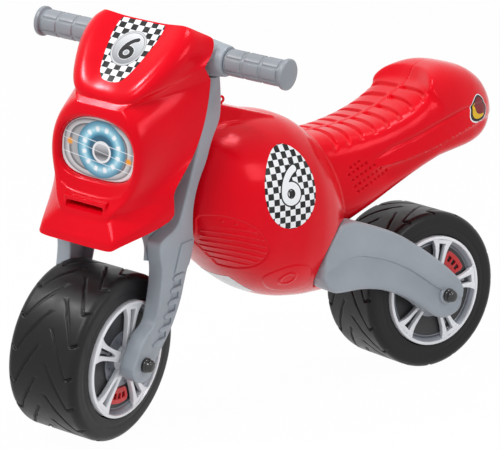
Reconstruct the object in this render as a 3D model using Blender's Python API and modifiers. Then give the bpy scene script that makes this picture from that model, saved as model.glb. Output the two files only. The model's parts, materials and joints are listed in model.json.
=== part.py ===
"""Kids ride-on motorcycle: a moulded body on two broad wheels, with a turning fork and fairing.

Metres, +Z up. The front faces -Y and the rider's left is +X. The origin is the point where
the rear tyre touches the ground, in the middle of its width. The fork is shown turned to the
rider's left; everything that turns with it hangs from an empty on the raked steering axis.
"""

import math

import bmesh
import bpy
from mathutils import Matrix, Vector

# Wheels
TYRE_RADIUS = 0.106
TYRE_HALF_WIDTH = 0.0505
TYRE_SHOULDER = 0.010
TYRE_BORE = 0.058
TYRE_SEGMENTS = 32
RIM_SEGMENTS = 20
RIM_RADIUS = 0.0743
RIM_FACE = 0.0553
RIM_LIP_WIDTH = 0.006
RIM_SEAT_DEPTH = 0.0102
RIM_PLATE = 0.0045
SPOKE_PAIRS = 5
SPOKE_WIDTH = 0.0062
SPOKE_SPREAD = 0.0125
SPOKE_FOOT = 0.0048
HUB_RADIUS = 0.016
SLEEVE_RADIUS = 0.0085
AXLE_RADIUS = 0.005
CAP_RADIUS = 0.0085
CAP_TIP_RADIUS = 0.0067
CAP_STEP = 0.0045
CAP_LENGTH = 0.0125
NOTCH_COUNT = 9
NOTCH_WIDTH = 0.0048
NOTCH_DEPTH = 0.0030
FRONT_SPOKE_ANGLE = math.radians(25)
REAR_SPOKE_ANGLE = math.radians(102)

# Fork and steering
RAKE = math.radians(16.4)
STEER_TURN = math.radians(23.7)
HEAD_Y = -0.4248
HEAD_Z = 0.300
FRONT_AXLE_Y = -0.5125
LEG_INNER = 0.058
LEG_OUTER = 0.080
LEG_LOBE = 0.0235
LEG_WALL = 0.004
LEG_NOTCHES = 5
LEG_NOTCH_LOW = 0.160
LEG_NOTCH_PITCH = 0.0125
LEG_NOTCH_HEIGHT = 0.0070
LEG_NOTCH_LENGTH = 0.0140
LEG_NOTCH_DEPTH = 0.0018
LEG_NOTCH_MARGIN = 0.0035
CROWN_TOP = -0.026
CROWN_THICKNESS = 0.020
CROWN_FRONT = 0.052
CROWN_REAR = 0.014
PIN_RADIUS = 0.007
PIN_BOSS = 0.020
BUSH_FLANGE = 0.003
BUSH_WALL = 0.003
BUSH_RIM = 0.005
BUSH_LENGTH = 0.016
PIN_HEAD_RADIUS = 0.012
PIN_HEAD = 0.006
PIN_TAIL = 0.012
NUT_RADIUS = 0.0115
NUT_HEIGHT = 0.008
ARCH_FOOT = -0.082
ARCH_SPREAD = 0.028
YOKE_WAIST = 0.022
YOKE_THICKNESS = 0.012

# Handlebar, in the straight fork's frame
BAR_Y = -0.3941
BAR_Z = 0.472
BAR_RADIUS = 0.016
BAR_CORE = 0.0105
BAR_LENGTH = 0.3666
BAR_SEGMENTS = 16
COLLAR_INNER_RADIUS = 0.0232
COLLAR_OUTER_RADIUS = 0.0190
COLLAR_END = 0.0975
GRIP_RADIUS = 0.0152
GRIP_PAD = 0.0012
GRIP_FLANGE = 0.0191
PADS_AROUND = 6
PADS_ALONG = 3
PAD_GROOVE = 0.003

# Body
HEAD_BLOCK_HALF = 0.042
HEAD_BLOCK_NOSE = 0.029
HEAD_BLOCK_REAR = 0.150
HEAD_BLOCK_REAR_HALF = 0.038
HEAD_BLOCK_WIDEST = 0.095
HEAD_BLOCK_HIGH = 0.120
TAIL_RISE_Y = 0.006
HORN_REACH = 0.017
HORN_LOW = 0.352
HORN_RISE = 0.032
HORN_SPREAD = 0.026
HORN_X = 0.060
GROOVES = 8
GROOVE_FIRST_Y = -0.0180
GROOVE_PITCH = 0.0203
GROOVE_WIDTH = 0.0046
GROOVE_DEPTH = 0.0022
GROOVE_SEAM = 0.0042
GROOVE_REACH = 0.051
VENT_SLOTS = 5
VENT_SLOT_HEIGHT = 0.0056
VENT_PITCH = 0.0118
VENT_LOW = 0.2010
VENT_DEPTH = 0.0013
CUT_THROUGH = 0.24
EYELET_Y = -0.300
EYELET_RADIUS = 0.0055
EYELET_WIRE = 0.0016
TIE_ROD_RADIUS = 0.004
TIE_ROD_Y = -0.180
TIE_ROD_Z = 0.180
TIE_ROD_GRIP = 0.012

# Swing arms
ARM_INNER = 0.058
ARM_OUTER = 0.079
ARM_CREST = 0.003
ARM_BOSS = 0.0125
ARM_BOSS_PROUD = 0.003

# Fairing
FAIRING_WALL = 0.003
LAMP_Z_TOP = 0.4065
LAMP_Z_WIDE = 0.3675
LAMP_Z_BOTTOM = 0.331
LAMP_HALF_WIDTH = 0.0535
LAMP_RECESS = 0.0095
LAMP_PLATE = 0.005
LAMP_SEGMENTS = 24
LAMP_FLOOR = 0.004
LAMP_FLARE = 0.005
LAMP_FLARE_DEPTH = 0.006
LAMP_BOWL_REACH = 0.008
LAMP_BOWL_WALL = 0.0055
LAMP_TOP_POWER = 2.2
LAMP_LOW_POWER = 3.2
SLOT_HALF_WIDTH = 0.0265
SLOT_HEIGHT = 0.008
SLOT_Z = 0.303
POST_RADIUS = 0.005
POST_SIDES = 10
POST_X = 0.069
POST_Z = 0.430
POST_COVER = 0.001
REST_X = 0.030
SCREW_RADIUS = 0.0018
SCREW_HEAD = 0.0038
SCREW_DEPTH = 0.014

# Fits
GAP = 0.0003
RUNNING_GAP = 0.0001
BORE_OVERRUN = 0.02
ROUND_SEGMENTS = 24
PIN_SEGMENTS = 12

RED = (0.72, 0.006, 0.012)
GREY = (0.26, 0.29, 0.32)
GRIP_GREY = (0.23, 0.24, 0.26)
RUBBER = (0.022, 0.021, 0.022)
SILVER = (0.70, 0.71, 0.76)
STEEL = (0.55, 0.55, 0.57)
BLACK = (0.012, 0.011, 0.012)
LAMP = (0.35, 0.62, 0.70)
NATURAL = (0.70, 0.70, 0.66)


def clear_scene():
    for obj in list(bpy.data.objects):
        bpy.data.objects.remove(obj, do_unlink=True)


def new_collection(name):
    collection = bpy.data.collections.new(name)
    bpy.context.scene.collection.children.link(collection)
    return collection


def new_material(name, colour, roughness, metallic=0.0):
    mat = bpy.data.materials.new(name)
    mat.use_nodes = True
    mat.diffuse_color = (*colour, 1.0)
    shader = mat.node_tree.nodes["Principled BSDF"]
    shader.inputs["Base Color"].default_value = (*colour, 1.0)
    shader.inputs["Roughness"].default_value = roughness
    shader.inputs["Metallic"].default_value = metallic
    return mat


def add_mesh(name, mesh, collection):
    obj = bpy.data.objects.new(name, mesh)
    collection.objects.link(obj)
    return obj


def from_bmesh(name, bm, collection):
    bmesh.ops.recalc_face_normals(bm, faces=bm.faces)
    mesh = bpy.data.meshes.new(name)
    bm.to_mesh(mesh)
    bm.free()
    return add_mesh(name, mesh, collection)


def hide_cutter(obj):
    obj.hide_render = True
    obj.display_type = "WIRE"
    return obj


def boolean(target, operand, operation):
    modifier = target.modifiers.new(operation.title(), "BOOLEAN")
    modifier.operation = operation
    modifier.solver = "EXACT"
    modifier.object = hide_cutter(operand)
    return modifier


def bevel(obj, width, segments=2, angle=35.0):
    modifier = obj.modifiers.new("Bevel", "BEVEL")
    modifier.width = width
    modifier.segments = segments
    modifier.limit_method = "ANGLE"
    modifier.angle_limit = math.radians(angle)
    modifier.harden_normals = False
    return modifier


def smooth(obj, angle=35.0):
    obj.data.shade_smooth()
    obj.data.set_sharp_from_angle(angle=math.radians(angle))
    return obj


def loft(name, rings, collection):
    """A closed solid through closed rings of equal count, capped at both ends."""
    bm = bmesh.new()
    rows = [[bm.verts.new(point) for point in ring] for ring in rings]
    for lower, upper in zip(rows, rows[1:]):
        for i in range(len(lower)):
            j = (i + 1) % len(lower)
            bm.faces.new((lower[i], lower[j], upper[j], upper[i]))
    bm.faces.new(rows[0])
    bm.faces.new(rows[-1])
    return from_bmesh(name, bm, collection)


def turned(name, profiles, collection, segments=ROUND_SEGMENTS, within=False):
    """Profiles of (radius, height) points spun about Z, each from its top down its outer side.

    A profile that doesn't start on the axis is a closed loop. A flat faces local +X. Its flats
    reach the radius or, within it, its corners do, as on a shaft that turns in a bore.
    """
    half_step = math.pi / segments
    scale = math.cos(half_step) if within else 1.0
    verts = []
    edges = []
    for profile in profiles:
        first = len(verts)
        for radius, height in profile:
            verts.append((radius * scale, radius * scale * math.tan(half_step), height))
        last = len(verts) - 1
        edges += [(i, i + 1) for i in range(first, last)]
        if profile[0][0] > 0:
            edges.append((last, first))
    mesh = bpy.data.meshes.new(name)
    mesh.from_pydata(verts, edges, [])
    obj = add_mesh(name, mesh, collection)
    screw = obj.modifiers.new("Screw", "SCREW")
    screw.axis = "Z"
    screw.angle = math.tau
    screw.steps = segments
    screw.render_steps = segments
    screw.use_merge_vertices = True
    screw.merge_threshold = 0.00005
    screw.use_smooth_shade = True
    return obj


def rod_profile(radius, low, high):
    return [(0.0, high), (radius, high), (radius, low), (0.0, low)]


def tube_profile(outer, inner, low, high):
    return [(outer, high), (outer, low), (inner, low), (inner, high)]


def plate(name, outline, thickness, rounding, collection, rounding_steps=1):
    """A flat outline in the local XY plane, extruded evenly about it, with rounded edges."""
    curve = bpy.data.curves.new(name, "CURVE")
    curve.dimensions = "2D"
    curve.fill_mode = "BOTH"
    spline = curve.splines.new("POLY")
    spline.points.add(len(outline) - 1)
    for point, (u, v) in zip(spline.points, outline):
        point.co = (u, v, 0.0, 1.0)
    spline.use_cyclic_u = True
    curve.extrude = thickness / 2 - rounding
    curve.bevel_depth = rounding
    curve.bevel_resolution = rounding_steps - 1
    curve.offset = -rounding
    drawn = bpy.data.objects.new(name, curve)
    collection.objects.link(drawn)
    graph = bpy.context.evaluated_depsgraph_get()
    mesh = bpy.data.meshes.new_from_object(drawn.evaluated_get(graph))
    bm = bmesh.new()
    bm.from_mesh(mesh)
    bmesh.ops.remove_doubles(bm, verts=bm.verts, dist=0.00002)
    bmesh.ops.dissolve_limit(bm, angle_limit=0.001, verts=bm.verts, edges=bm.edges)
    bmesh.ops.recalc_face_normals(bm, faces=bm.faces)
    bm.to_mesh(mesh)
    bm.free()
    bpy.data.objects.remove(drawn, do_unlink=True)
    return add_mesh(name, mesh, collection)


def boxes(name, frames, size, collection):
    """Boxes of one size, one for each frame, as a single cutter."""
    bm = bmesh.new()
    for frame in frames:
        bmesh.ops.create_cube(bm, size=1.0, matrix=frame @ Matrix.Diagonal((*size, 1.0)))
    return from_bmesh(name, bm, collection)


def arc(centre, radius, start, end, steps):
    """Points on an arc, angles in degrees."""
    points = []
    for i in range(steps + 1):
        angle = math.radians(start + (end - start) * i / steps)
        points.append((centre[0] + radius * math.cos(angle), centre[1] + radius * math.sin(angle)))
    return points


def monotone_slopes(xs, ys):
    """Slopes for a curve through the points that never overshoots them."""
    gaps = [(ys[i + 1] - ys[i]) / (xs[i + 1] - xs[i]) for i in range(len(xs) - 1)]
    slopes = [gaps[0]]
    for before, after in zip(gaps, gaps[1:]):
        if before * after <= 0:
            slopes.append(0.0)
        else:
            slopes.append(2 * before * after / (before + after))
    slopes.append(gaps[-1])
    return slopes


def hermite(t, width, start, end, start_slope, end_slope):
    a = (1 + 2 * t) * (1 - t) ** 2
    b = t * (1 - t) ** 2
    c = t * t * (3 - 2 * t)
    d = t * t * (t - 1)
    return a * start + b * width * start_slope + c * end + d * width * end_slope


def refine(stations, per_gap):
    """More stations on smooth curves through the given ones, keyed by their first value."""
    keys = [station[0] for station in stations]
    columns = list(zip(*stations))
    slopes = [monotone_slopes(keys, column) for column in columns]
    fine = []
    for i in range(len(keys) - 1):
        width = keys[i + 1] - keys[i]
        for step in range(per_gap):
            t = step / per_gap
            fine.append([hermite(t, width, columns[k][i], columns[k][i + 1], slopes[k][i], slopes[k][i + 1])
                         for k in range(len(columns))])
    fine.append(list(stations[-1]))
    return fine


def signed_power(value, power):
    return math.copysign(abs(value) ** power, value)


def section(station, count):
    """One upright ring: a superellipse above the widest height and another below it."""
    y, z_top, z_bottom, half_width, z_wide, top_power, bottom_power, tuck = station
    ring = []
    for i in range(count):
        angle = math.tau * i / count
        across = math.cos(angle)
        up = math.sin(angle)
        power = top_power if up >= 0 else bottom_power
        height = z_top - z_wide if up >= 0 else z_wide - z_bottom
        width = half_width if up > -0.01 else half_width * (1 - tuck)
        ring.append(Vector((width * signed_power(across, 2 / power), y,
                            z_wide + height * signed_power(up, 2 / power))))
    return ring


def inset_at(table, z, inset):
    rows = sorted(table)
    for (z0, y0), (z1, y1) in zip(rows, rows[1:]):
        if z0 <= z <= z1:
            return y0 + (y1 - y0) * (z - z0) / (z1 - z0) + inset
    return rows[-1][1] + inset


def empty(name, location, collection, parent=None):
    obj = bpy.data.objects.new(name, None)
    obj.empty_display_size = 0.03
    collection.objects.link(obj)
    obj.location = location
    obj.parent = parent
    return obj


def place(obj, material, parent=None, location=(0, 0, 0), rotation=(0, 0, 0)):
    obj.data.materials.clear()
    obj.data.materials.append(material)
    obj.parent = parent
    obj.location = location
    obj.rotation_euler = rotation
    return obj


ALONG_X = (0, math.pi / 2, 0)


def side_plate(name, outline, inner_x, outer_x, rounding, collection):
    """A plate whose outline is given as (y, z), standing between two x values."""
    obj = plate(name, outline, outer_x - inner_x, rounding, collection)
    turn = Matrix.Rotation(math.pi / 2, 4, "Z") @ Matrix.Rotation(math.pi / 2, 4, "X")
    obj.data.transform(Matrix.Translation(((inner_x + outer_x) / 2, 0, 0)) @ turn)
    return obj


clear_scene()
PARTS = new_collection("ride_on_motorcycle")
CUTTERS = new_collection("cutters")

red = new_material("red_plastic", RED, 0.22)
grey = new_material("grey_plastic", GREY, 0.38)
grip_grey = new_material("grip_vinyl", GRIP_GREY, 0.50)
rubber = new_material("tyre_rubber", RUBBER, 0.55)
silver = new_material("silver_plastic", SILVER, 0.28, 0.6)
steel = new_material("steel", STEEL, 0.35, 1.0)
black = new_material("black_plastic", BLACK, 0.20)
lamp = new_material("lamp_plate", LAMP, 0.25)
natural = new_material("natural_nylon", NATURAL, 0.45)

# The head frame stands on the steering axis, and the steering frame turns in it
HEAD = Vector((0, HEAD_Y, HEAD_Z))
head_axis = empty("head_axis", HEAD, PARTS)
head_axis.rotation_euler = (-RAKE, 0, 0)
steering = empty("steering_axis", (0, 0, 0), PARTS, head_axis)
steering.rotation_euler = (0, 0, STEER_TURN)


def steer(obj, material, centre=(0, 0, 0), rotation=(0, 0, 0)):
    """Hang a piece, given where it lies with the fork straight, on the steering frame."""
    turn = Matrix.Rotation(RAKE, 4, "X") @ Matrix.LocRotScale(None, rotation_of(rotation), None)
    location = Matrix.Rotation(RAKE, 4, "X") @ (Vector(centre) - HEAD)
    return place(obj, material, steering, location, turn.to_euler())


def rotation_of(angles):
    return (Matrix.Rotation(angles[2], 3, "Z") @ Matrix.Rotation(angles[1], 3, "Y")
            @ Matrix.Rotation(angles[0], 3, "X")).to_quaternion()


# The turned front wheel leans, and its centre's height lets its lower shoulder touch the ground
TURN = Matrix.Rotation(-RAKE, 3, "X") @ Matrix.Rotation(STEER_TURN, 3, "Z") @ Matrix.Rotation(RAKE, 3, "X")
LEAN = math.asin(abs((TURN @ Vector((1, 0, 0))).z))
LOWEST = ((TYRE_RADIUS - TYRE_SHOULDER) * math.cos(LEAN)
          + (TYRE_HALF_WIDTH - TYRE_SHOULDER) * math.sin(LEAN) + TYRE_SHOULDER)
FRONT_AXLE_Z = HEAD_Z + (LOWEST - HEAD_Z - TURN[2][1] * (FRONT_AXLE_Y - HEAD_Y)) / TURN[2][2]
FRONT_AXLE = Vector((0, FRONT_AXLE_Y, FRONT_AXLE_Z))
REAR_AXLE = Vector((0, 0, TYRE_RADIUS))


def tyre_profile():
    """Tread, rounded shoulders, side walls with the rim's seat, and the bore."""
    half = []
    centre = (TYRE_RADIUS - TYRE_SHOULDER, TYRE_HALF_WIDTH - TYRE_SHOULDER)
    seat = RIM_RADIUS + GAP
    seat_low = TYRE_HALF_WIDTH - RIM_SEAT_DEPTH
    half.append((TYRE_BORE, seat_low))
    half.append((seat, seat_low))
    half.append((seat, TYRE_HALF_WIDTH))
    half += arc(centre, TYRE_SHOULDER, 90, 0, 2)
    lower = [(r, -z) for r, z in reversed(half)]
    return half + lower


def spokes_mesh(name, low, high):
    """Pairs of tapering bars from the hub to the rim's lip."""
    bm = bmesh.new()
    inner = HUB_RADIUS - 0.004
    outer = RIM_RADIUS - RIM_LIP_WIDTH + 0.002
    for pair in range(SPOKE_PAIRS):
        turn = Matrix.Rotation(math.tau * pair / SPOKE_PAIRS, 4, "Z")
        for side in (-1, 1):
            bottom = []
            top = []
            for radius, offset, half in ((inner, SPOKE_FOOT, SPOKE_WIDTH * 0.42),
                                         (outer, SPOKE_SPREAD, SPOKE_WIDTH * 0.6)):
                for edge in (-1, 1):
                    across = side * offset + edge * half
                    bottom.append(turn @ Vector((radius, across, low)))
                    top.append(turn @ Vector((radius, across * 0.97, high)))
            order = (0, 1, 3, 2)
            b = [bm.verts.new(bottom[i]) for i in order]
            t = [bm.verts.new(top[i]) for i in order]
            bm.faces.new(b)
            bm.faces.new(t)
            for i in range(4):
                j = (i + 1) % 4
                bm.faces.new((b[i], b[j], t[j], t[i]))
    return from_bmesh(name, bm, CUTTERS)


def rim(name, side, parent, spoke_angle):
    """One wheel disc: a dished plate with a lip, twin spokes and a hub, seated in the tyre's side."""
    seat = TYRE_HALF_WIDTH - RIM_SEAT_DEPTH + GAP
    plate_top = seat + RIM_PLATE
    lip = RIM_RADIUS - RIM_LIP_WIDTH
    bore = (AXLE_RADIUS + RUNNING_GAP) / math.cos(math.pi / RIM_SEGMENTS)
    profile = [
        (bore, RIM_FACE),
        (HUB_RADIUS, RIM_FACE),
        (HUB_RADIUS, plate_top),
        (lip, plate_top),
        (lip + 0.0025, RIM_FACE),
        (RIM_RADIUS, RIM_FACE - 0.002),
        (RIM_RADIUS, seat),
        (bore, seat),
    ]
    obj = turned(name, [profile], PARTS, RIM_SEGMENTS, True)
    spokes = spokes_mesh(name + "_spokes", plate_top - 0.001, RIM_FACE - 0.0035)
    boolean(obj, spokes, "UNION")
    # The wheel axis' local X points down and its Y back, and a spoke angle runs from the front upwards
    turn = Matrix.Rotation(-math.pi / 2 - spoke_angle, 3, "Z")
    if side < 0:
        turn = turn @ Matrix.Rotation(math.pi, 3, "X")
    for piece in (obj, spokes):
        place(piece, silver, parent, (0, 0, 0), turn.to_euler())
    return obj


def wheel(prefix, parent, spoke_angle):
    tyre = turned(prefix + "_tyre", [tyre_profile()], PARTS, TYRE_SEGMENTS)
    place(tyre, rubber, parent)
    frames = []
    for side in (-1, 1):
        for i in range(NOTCH_COUNT):
            around = Matrix.Rotation(math.tau * (i + side / 4) / NOTCH_COUNT, 4, "Z")
            out = Matrix.Translation((TYRE_RADIUS, 0, side * (TYRE_HALF_WIDTH - NOTCH_DEPTH)))
            frames.append(around @ out)
    notches = boxes(prefix + "_tyre_notches", frames, (2 * NOTCH_DEPTH, NOTCH_WIDTH, TYRE_SHOULDER * 1.3), CUTTERS)
    place(notches, rubber, parent)
    boolean(tyre, notches, "DIFFERENCE")
    rim(prefix + "_left_rim", 1, parent, spoke_angle)
    rim(prefix + "_right_rim", -1, parent, spoke_angle)
    end = TYRE_HALF_WIDTH - RIM_SEAT_DEPTH
    sleeve = turned(prefix + "_wheel_sleeve",
                    [tube_profile(SLEEVE_RADIUS, AXLE_RADIUS + RUNNING_GAP, -end, end)], PARTS, PIN_SEGMENTS)
    place(sleeve, natural, parent)


def axle(prefix, parent, face):
    """The steel axle, a domed cap on each end and a washer on each side of the wheel."""
    end = face + CAP_LENGTH - 0.004
    rod = turned(prefix + "_axle", [rod_profile(AXLE_RADIUS, -end, end)], PARTS, PIN_SEGMENTS, True)
    place(rod, steel, parent)
    low = face + GAP
    high = face + CAP_LENGTH
    bore = AXLE_RADIUS + GAP
    step = low + CAP_STEP
    dome = [(0.0, high), (CAP_TIP_RADIUS * 0.7, high - 0.0008), (CAP_TIP_RADIUS, high - 0.0035),
            (CAP_TIP_RADIUS, step), (CAP_RADIUS, step - 0.001), (CAP_RADIUS, low), (bore, low),
            (bore, end + GAP), (0.0, end + GAP)]
    washer = tube_profile(0.012, bore, RIM_FACE + GAP, LEG_INNER - GAP)
    for side_name, turn in (("left", 0), ("right", math.pi)):
        cap = turned(prefix + "_" + side_name + "_axle_cap", [dome], PARTS, PIN_SEGMENTS)
        place(cap, black, parent, (0, 0, 0), (turn, 0, 0))
        ring = turned(prefix + "_" + side_name + "_washer", [washer], PARTS, PIN_SEGMENTS)
        place(ring, steel, parent, (0, 0, 0), (turn, 0, 0))


rear_wheel_axis = empty("rear_wheel_axis", REAR_AXLE, PARTS)
rear_wheel_axis.rotation_euler = ALONG_X
front_wheel_axis = empty("front_wheel_axis", Matrix.Rotation(RAKE, 4, "X") @ (FRONT_AXLE - HEAD), PARTS, steering)
front_wheel_axis.rotation_euler = (Matrix.Rotation(RAKE, 3, "X") @ Matrix.Rotation(math.pi / 2, 3, "Y")).to_euler()
wheel("rear", rear_wheel_axis, REAR_SPOKE_ANGLE)
wheel("front", front_wheel_axis, FRONT_SPOKE_ANGLE)
axle("rear", rear_wheel_axis, ARM_OUTER + ARM_BOSS_PROUD)
axle("front", front_wheel_axis, LEG_OUTER)

# Body: tank, seat with tail, and head block
TANK = (
    (-0.3990, 0.302, 0.248, 0.022, 0.275, 2.0, 2.0, 0.0),
    (-0.3960, 0.321, 0.243, 0.040, 0.277, 2.1, 2.1, 0.0),
    (-0.3860, 0.344, 0.236, 0.061, 0.279, 2.2, 2.2, 0.0),
    (-0.3680, 0.363, 0.220, 0.080, 0.279, 2.2, 2.2, 0.0),
    (-0.3450, 0.374, 0.197, 0.093, 0.276, 2.2, 2.2, 0.0),
    (-0.3180, 0.380, 0.170, 0.101, 0.270, 2.2, 2.2, 0.0),
    (-0.2850, 0.381, 0.147, 0.105, 0.262, 2.2, 2.2, 0.0),
    (-0.2500, 0.377, 0.134, 0.105, 0.254, 2.2, 2.2, 0.0),
    (-0.2200, 0.367, 0.129, 0.101, 0.247, 2.2, 2.2, 0.0),
    (-0.1950, 0.350, 0.127, 0.092, 0.240, 2.2, 2.2, 0.0),
    (-0.1750, 0.328, 0.127, 0.080, 0.234, 2.2, 2.3, 0.0),
    (-0.1580, 0.300, 0.130, 0.064, 0.226, 2.2, 2.4, 0.0),
    (-0.1480, 0.270, 0.138, 0.045, 0.215, 2.2, 2.4, 0.0),
    (-0.1440, 0.245, 0.150, 0.028, 0.205, 2.0, 2.2, 0.0),
)
SEAT = (
    (-0.3000, 0.320, 0.220, 0.046, 0.270, 3.0, 2.6, 0.0),
    (-0.2300, 0.333, 0.190, 0.057, 0.275, 3.2, 2.8, 0.0),
    (-0.1850, 0.338, 0.190, 0.060, 0.280, 3.4, 3.0, 0.0),
    (-0.1400, 0.3405, 0.212, 0.064, 0.285, 3.6, 3.0, 0.0),
    (-0.1000, 0.3460, 0.231, 0.068, 0.293, 3.8, 3.0, 0.03),
    (-0.0600, 0.3570, 0.2525, 0.071, 0.299, 4.0, 3.0, 0.06),
    (-0.0250, 0.3745, 0.270, 0.072, 0.306, 4.0, 3.0, 0.07),
    (-0.0030, 0.3860, 0.279, 0.072, 0.311, 4.0, 3.0, 0.07),
    (0.0080, 0.4030, 0.283, 0.0715, 0.3135, 3.6, 3.0, 0.07),
    (0.0300, 0.4085, 0.287, 0.070, 0.319, 3.2, 3.0, 0.07),
    (0.0600, 0.4030, 0.291, 0.065, 0.326, 3.0, 3.0, 0.07),
    (0.0850, 0.3910, 0.296, 0.056, 0.331, 2.8, 2.8, 0.07),
    (0.1030, 0.3740, 0.304, 0.043, 0.334, 2.5, 2.5, 0.06),
    (0.1130, 0.3560, 0.314, 0.028, 0.334, 2.2, 2.2, 0.03),
    (0.1170, 0.3440, 0.324, 0.014, 0.334, 2.0, 2.0, 0.0),
)
BODY_RING = 24
TANK_STEPS = 1
SEAT_STEPS = 1


def seat_ring(station):
    """A seat section, whose tail's front face curls forward at both sides like a horseshoe."""
    ring = section(station, BODY_RING)
    for point in ring:
        up = min(1.0, max(0.0, (point.z - HORN_LOW) / HORN_RISE))
        near = math.exp(-((point.y - TAIL_RISE_Y) / HORN_SPREAD) ** 2)
        point.y -= HORN_REACH * up * near * min(1.0, abs(point.x) / HORN_X) ** 2
    return ring


def seat_top(x, y):
    """The seat's height above a place."""
    station = min(refine(SEAT, 4), key=lambda s: abs(s[0] - y))
    z_top, z_bottom, half_width, z_wide, power = station[1:6]
    return z_wide + (z_top - z_wide) * (1 - min(1.0, abs(x) / half_width) ** power) ** (1 / power)


def seat_grooves(name):
    """Channels across the seat on both sides of its seam, each shallower towards its outer end."""
    bm = bmesh.new()
    for index in range(GROOVES):
        middle = GROOVE_FIRST_Y - GROOVE_PITCH * index
        for side in (-1, 1):
            rows = []
            for share in (0.0, 1.0):
                x = GROOVE_SEAM + (GROOVE_REACH - GROOVE_SEAM) * share
                top = seat_top(x, middle)
                depth = GROOVE_DEPTH * (1 - 0.6 * share)
                half = GROOVE_WIDTH / 2
                rows.append([bm.verts.new((side * x, middle + y, z)) for y, z in (
                    (-half * 0.7, top - depth), (half * 0.7, top - depth), (half * 1.4, top + 0.004),
                    (-half * 1.4, top + 0.004))])
            for low, high in zip(rows, rows[1:]):
                for i in range(4):
                    j = (i + 1) % 4
                    bm.faces.new((low[i], low[j], high[j], high[i]))
            bm.faces.new(rows[0])
            bm.faces.new(rows[-1])
    return from_bmesh(name, bm, CUTTERS)


body = loft("body_shell", [section(s, BODY_RING) for s in refine(TANK, TANK_STEPS)], PARTS)
seat = loft("seat_form", [seat_ring(s) for s in refine(SEAT, SEAT_STEPS)], CUTTERS)
block_outline = arc((0, 0), HEAD_BLOCK_NOSE, 180, 360, 10)
block_side = [(HEAD_BLOCK_HALF, HEAD_BLOCK_WIDEST), (HEAD_BLOCK_REAR_HALF, HEAD_BLOCK_REAR)]
block_outline += block_side + [(-x, y) for x, y in reversed(block_side)]
block_low = CROWN_TOP + BUSH_FLANGE + 2 * GAP
head_block = plate("head_block", block_outline, HEAD_BLOCK_HIGH - block_low, 0.003, CUTTERS)
place(head_block, red, head_axis, (0, 0, (HEAD_BLOCK_HIGH + block_low) / 2))
place(seat, red)
place(body, red)
boolean(body, seat, "UNION")
boolean(body, head_block, "UNION")

bush_outer = PIN_RADIUS + GAP + BUSH_WALL
head_bore_profile = rod_profile(bush_outer + GAP, block_low - BORE_OVERRUN, HEAD_BLOCK_HIGH + BORE_OVERRUN)
head_bore = turned("head_bore", [head_bore_profile], CUTTERS, PIN_SEGMENTS)
place(head_bore, red, head_axis)
boolean(body, head_bore, "DIFFERENCE")

grooves = seat_grooves("seat_grooves")
place(grooves, red)
boolean(body, grooves, "DIFFERENCE")

# The vent on each side of the tank: slots of even depth, cut by bars that a smaller tank holds off
VENT_FRONT = ((0.190, -0.352), (0.270, -0.384))
VENT_REAR = ((0.190, -0.316), (0.200, -0.301), (0.215, -0.297), (0.232, -0.304), (0.250, -0.322), (0.270, -0.360))
core_rings = []
for y, z_top, z_bottom, half_width, *rest in refine(TANK, TANK_STEPS):
    station = (y, z_top - VENT_DEPTH, z_bottom + VENT_DEPTH, half_width - VENT_DEPTH, *rest)
    core_rings.append(section(station, BODY_RING))
tank_core = loft("tank_core", core_rings, CUTTERS)
place(tank_core, red)
slot_frames = []
for index in range(VENT_SLOTS):
    height = VENT_LOW + VENT_PITCH * index
    front_y = inset_at(VENT_FRONT, height, 0.0)
    rear_y = inset_at(VENT_REAR, height, 0.0)
    centre = Matrix.Translation((0, (front_y + rear_y) / 2, height))
    slot_frames.append(centre @ Matrix.Diagonal((1, rear_y - front_y, 1, 1)))
vent_slots = boxes("vent_slots", slot_frames, (CUT_THROUGH, 1, VENT_SLOT_HEIGHT), CUTTERS)
place(vent_slots, red)
boolean(vent_slots, tank_core, "DIFFERENCE")
boolean(body, vent_slots, "DIFFERENCE")

# Swing arms, as stations of (front-to-rear key, top y, top z, bottom y, bottom z)
ARM = (
    (0, -0.2140, 0.1800, -0.2140, 0.1640),
    (1, -0.2075, 0.1970, -0.2045, 0.1500),
    (2, -0.1945, 0.2150, -0.1890, 0.1415),
    (3, -0.1765, 0.2290, -0.1715, 0.1395),
    (4, -0.1570, 0.2300, -0.1485, 0.1380),
    (5, -0.1320, 0.2220, -0.1190, 0.1330),
    (6, -0.1045, 0.2120, -0.0850, 0.1215),
    (7, -0.0760, 0.1985, -0.0580, 0.1075),
    (8, -0.0480, 0.1810, -0.0360, 0.0915),
    (9, -0.0175, 0.1595, -0.0175, 0.0785),
    (10, 0.0095, 0.1375, -0.0010, 0.0735),
    (11, 0.0260, 0.1205, 0.0165, 0.0775),
    (12, 0.0325, 0.1060, 0.0290, 0.0900),
)


def arm_rings(inner, outer, crest, grow):
    """Rings of the arm: a flat inner face and an outer face that rises to a crease along its middle."""
    rings = []
    stations = refine(ARM, 1)
    for index, (key, top_y, top_z, low_y, low_z) in enumerate(stations):
        ends = min(index, len(stations) - 1 - index)
        edge = 0.004 if ends == 0 else 0.0015
        rise = crest * min(1.0, ends / 2)
        top = Vector((0, top_y, top_z))
        low = Vector((0, low_y, low_z))
        along = (top - low).normalized()
        top += along * grow
        low -= along * grow
        height = (top - low).length

        def point(x, up):
            return Vector((x, 0, 0)) + low + along * up

        rings.append([
            point(inner, 0), point(outer - 0.006 - edge, 0), point(outer - 0.0015 - edge, height * 0.035),
            point(outer - edge, height * 0.13), point(outer + rise - edge, height * 0.52),
            point(outer - edge, height * 0.87), point(outer - 0.0015 - edge, height * 0.965),
            point(outer - 0.006 - edge, height), point(inner, height)])
    return rings


def mirrored(rings):
    return [[Vector((-p.x, p.y, p.z)) for p in ring] for ring in rings]


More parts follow.
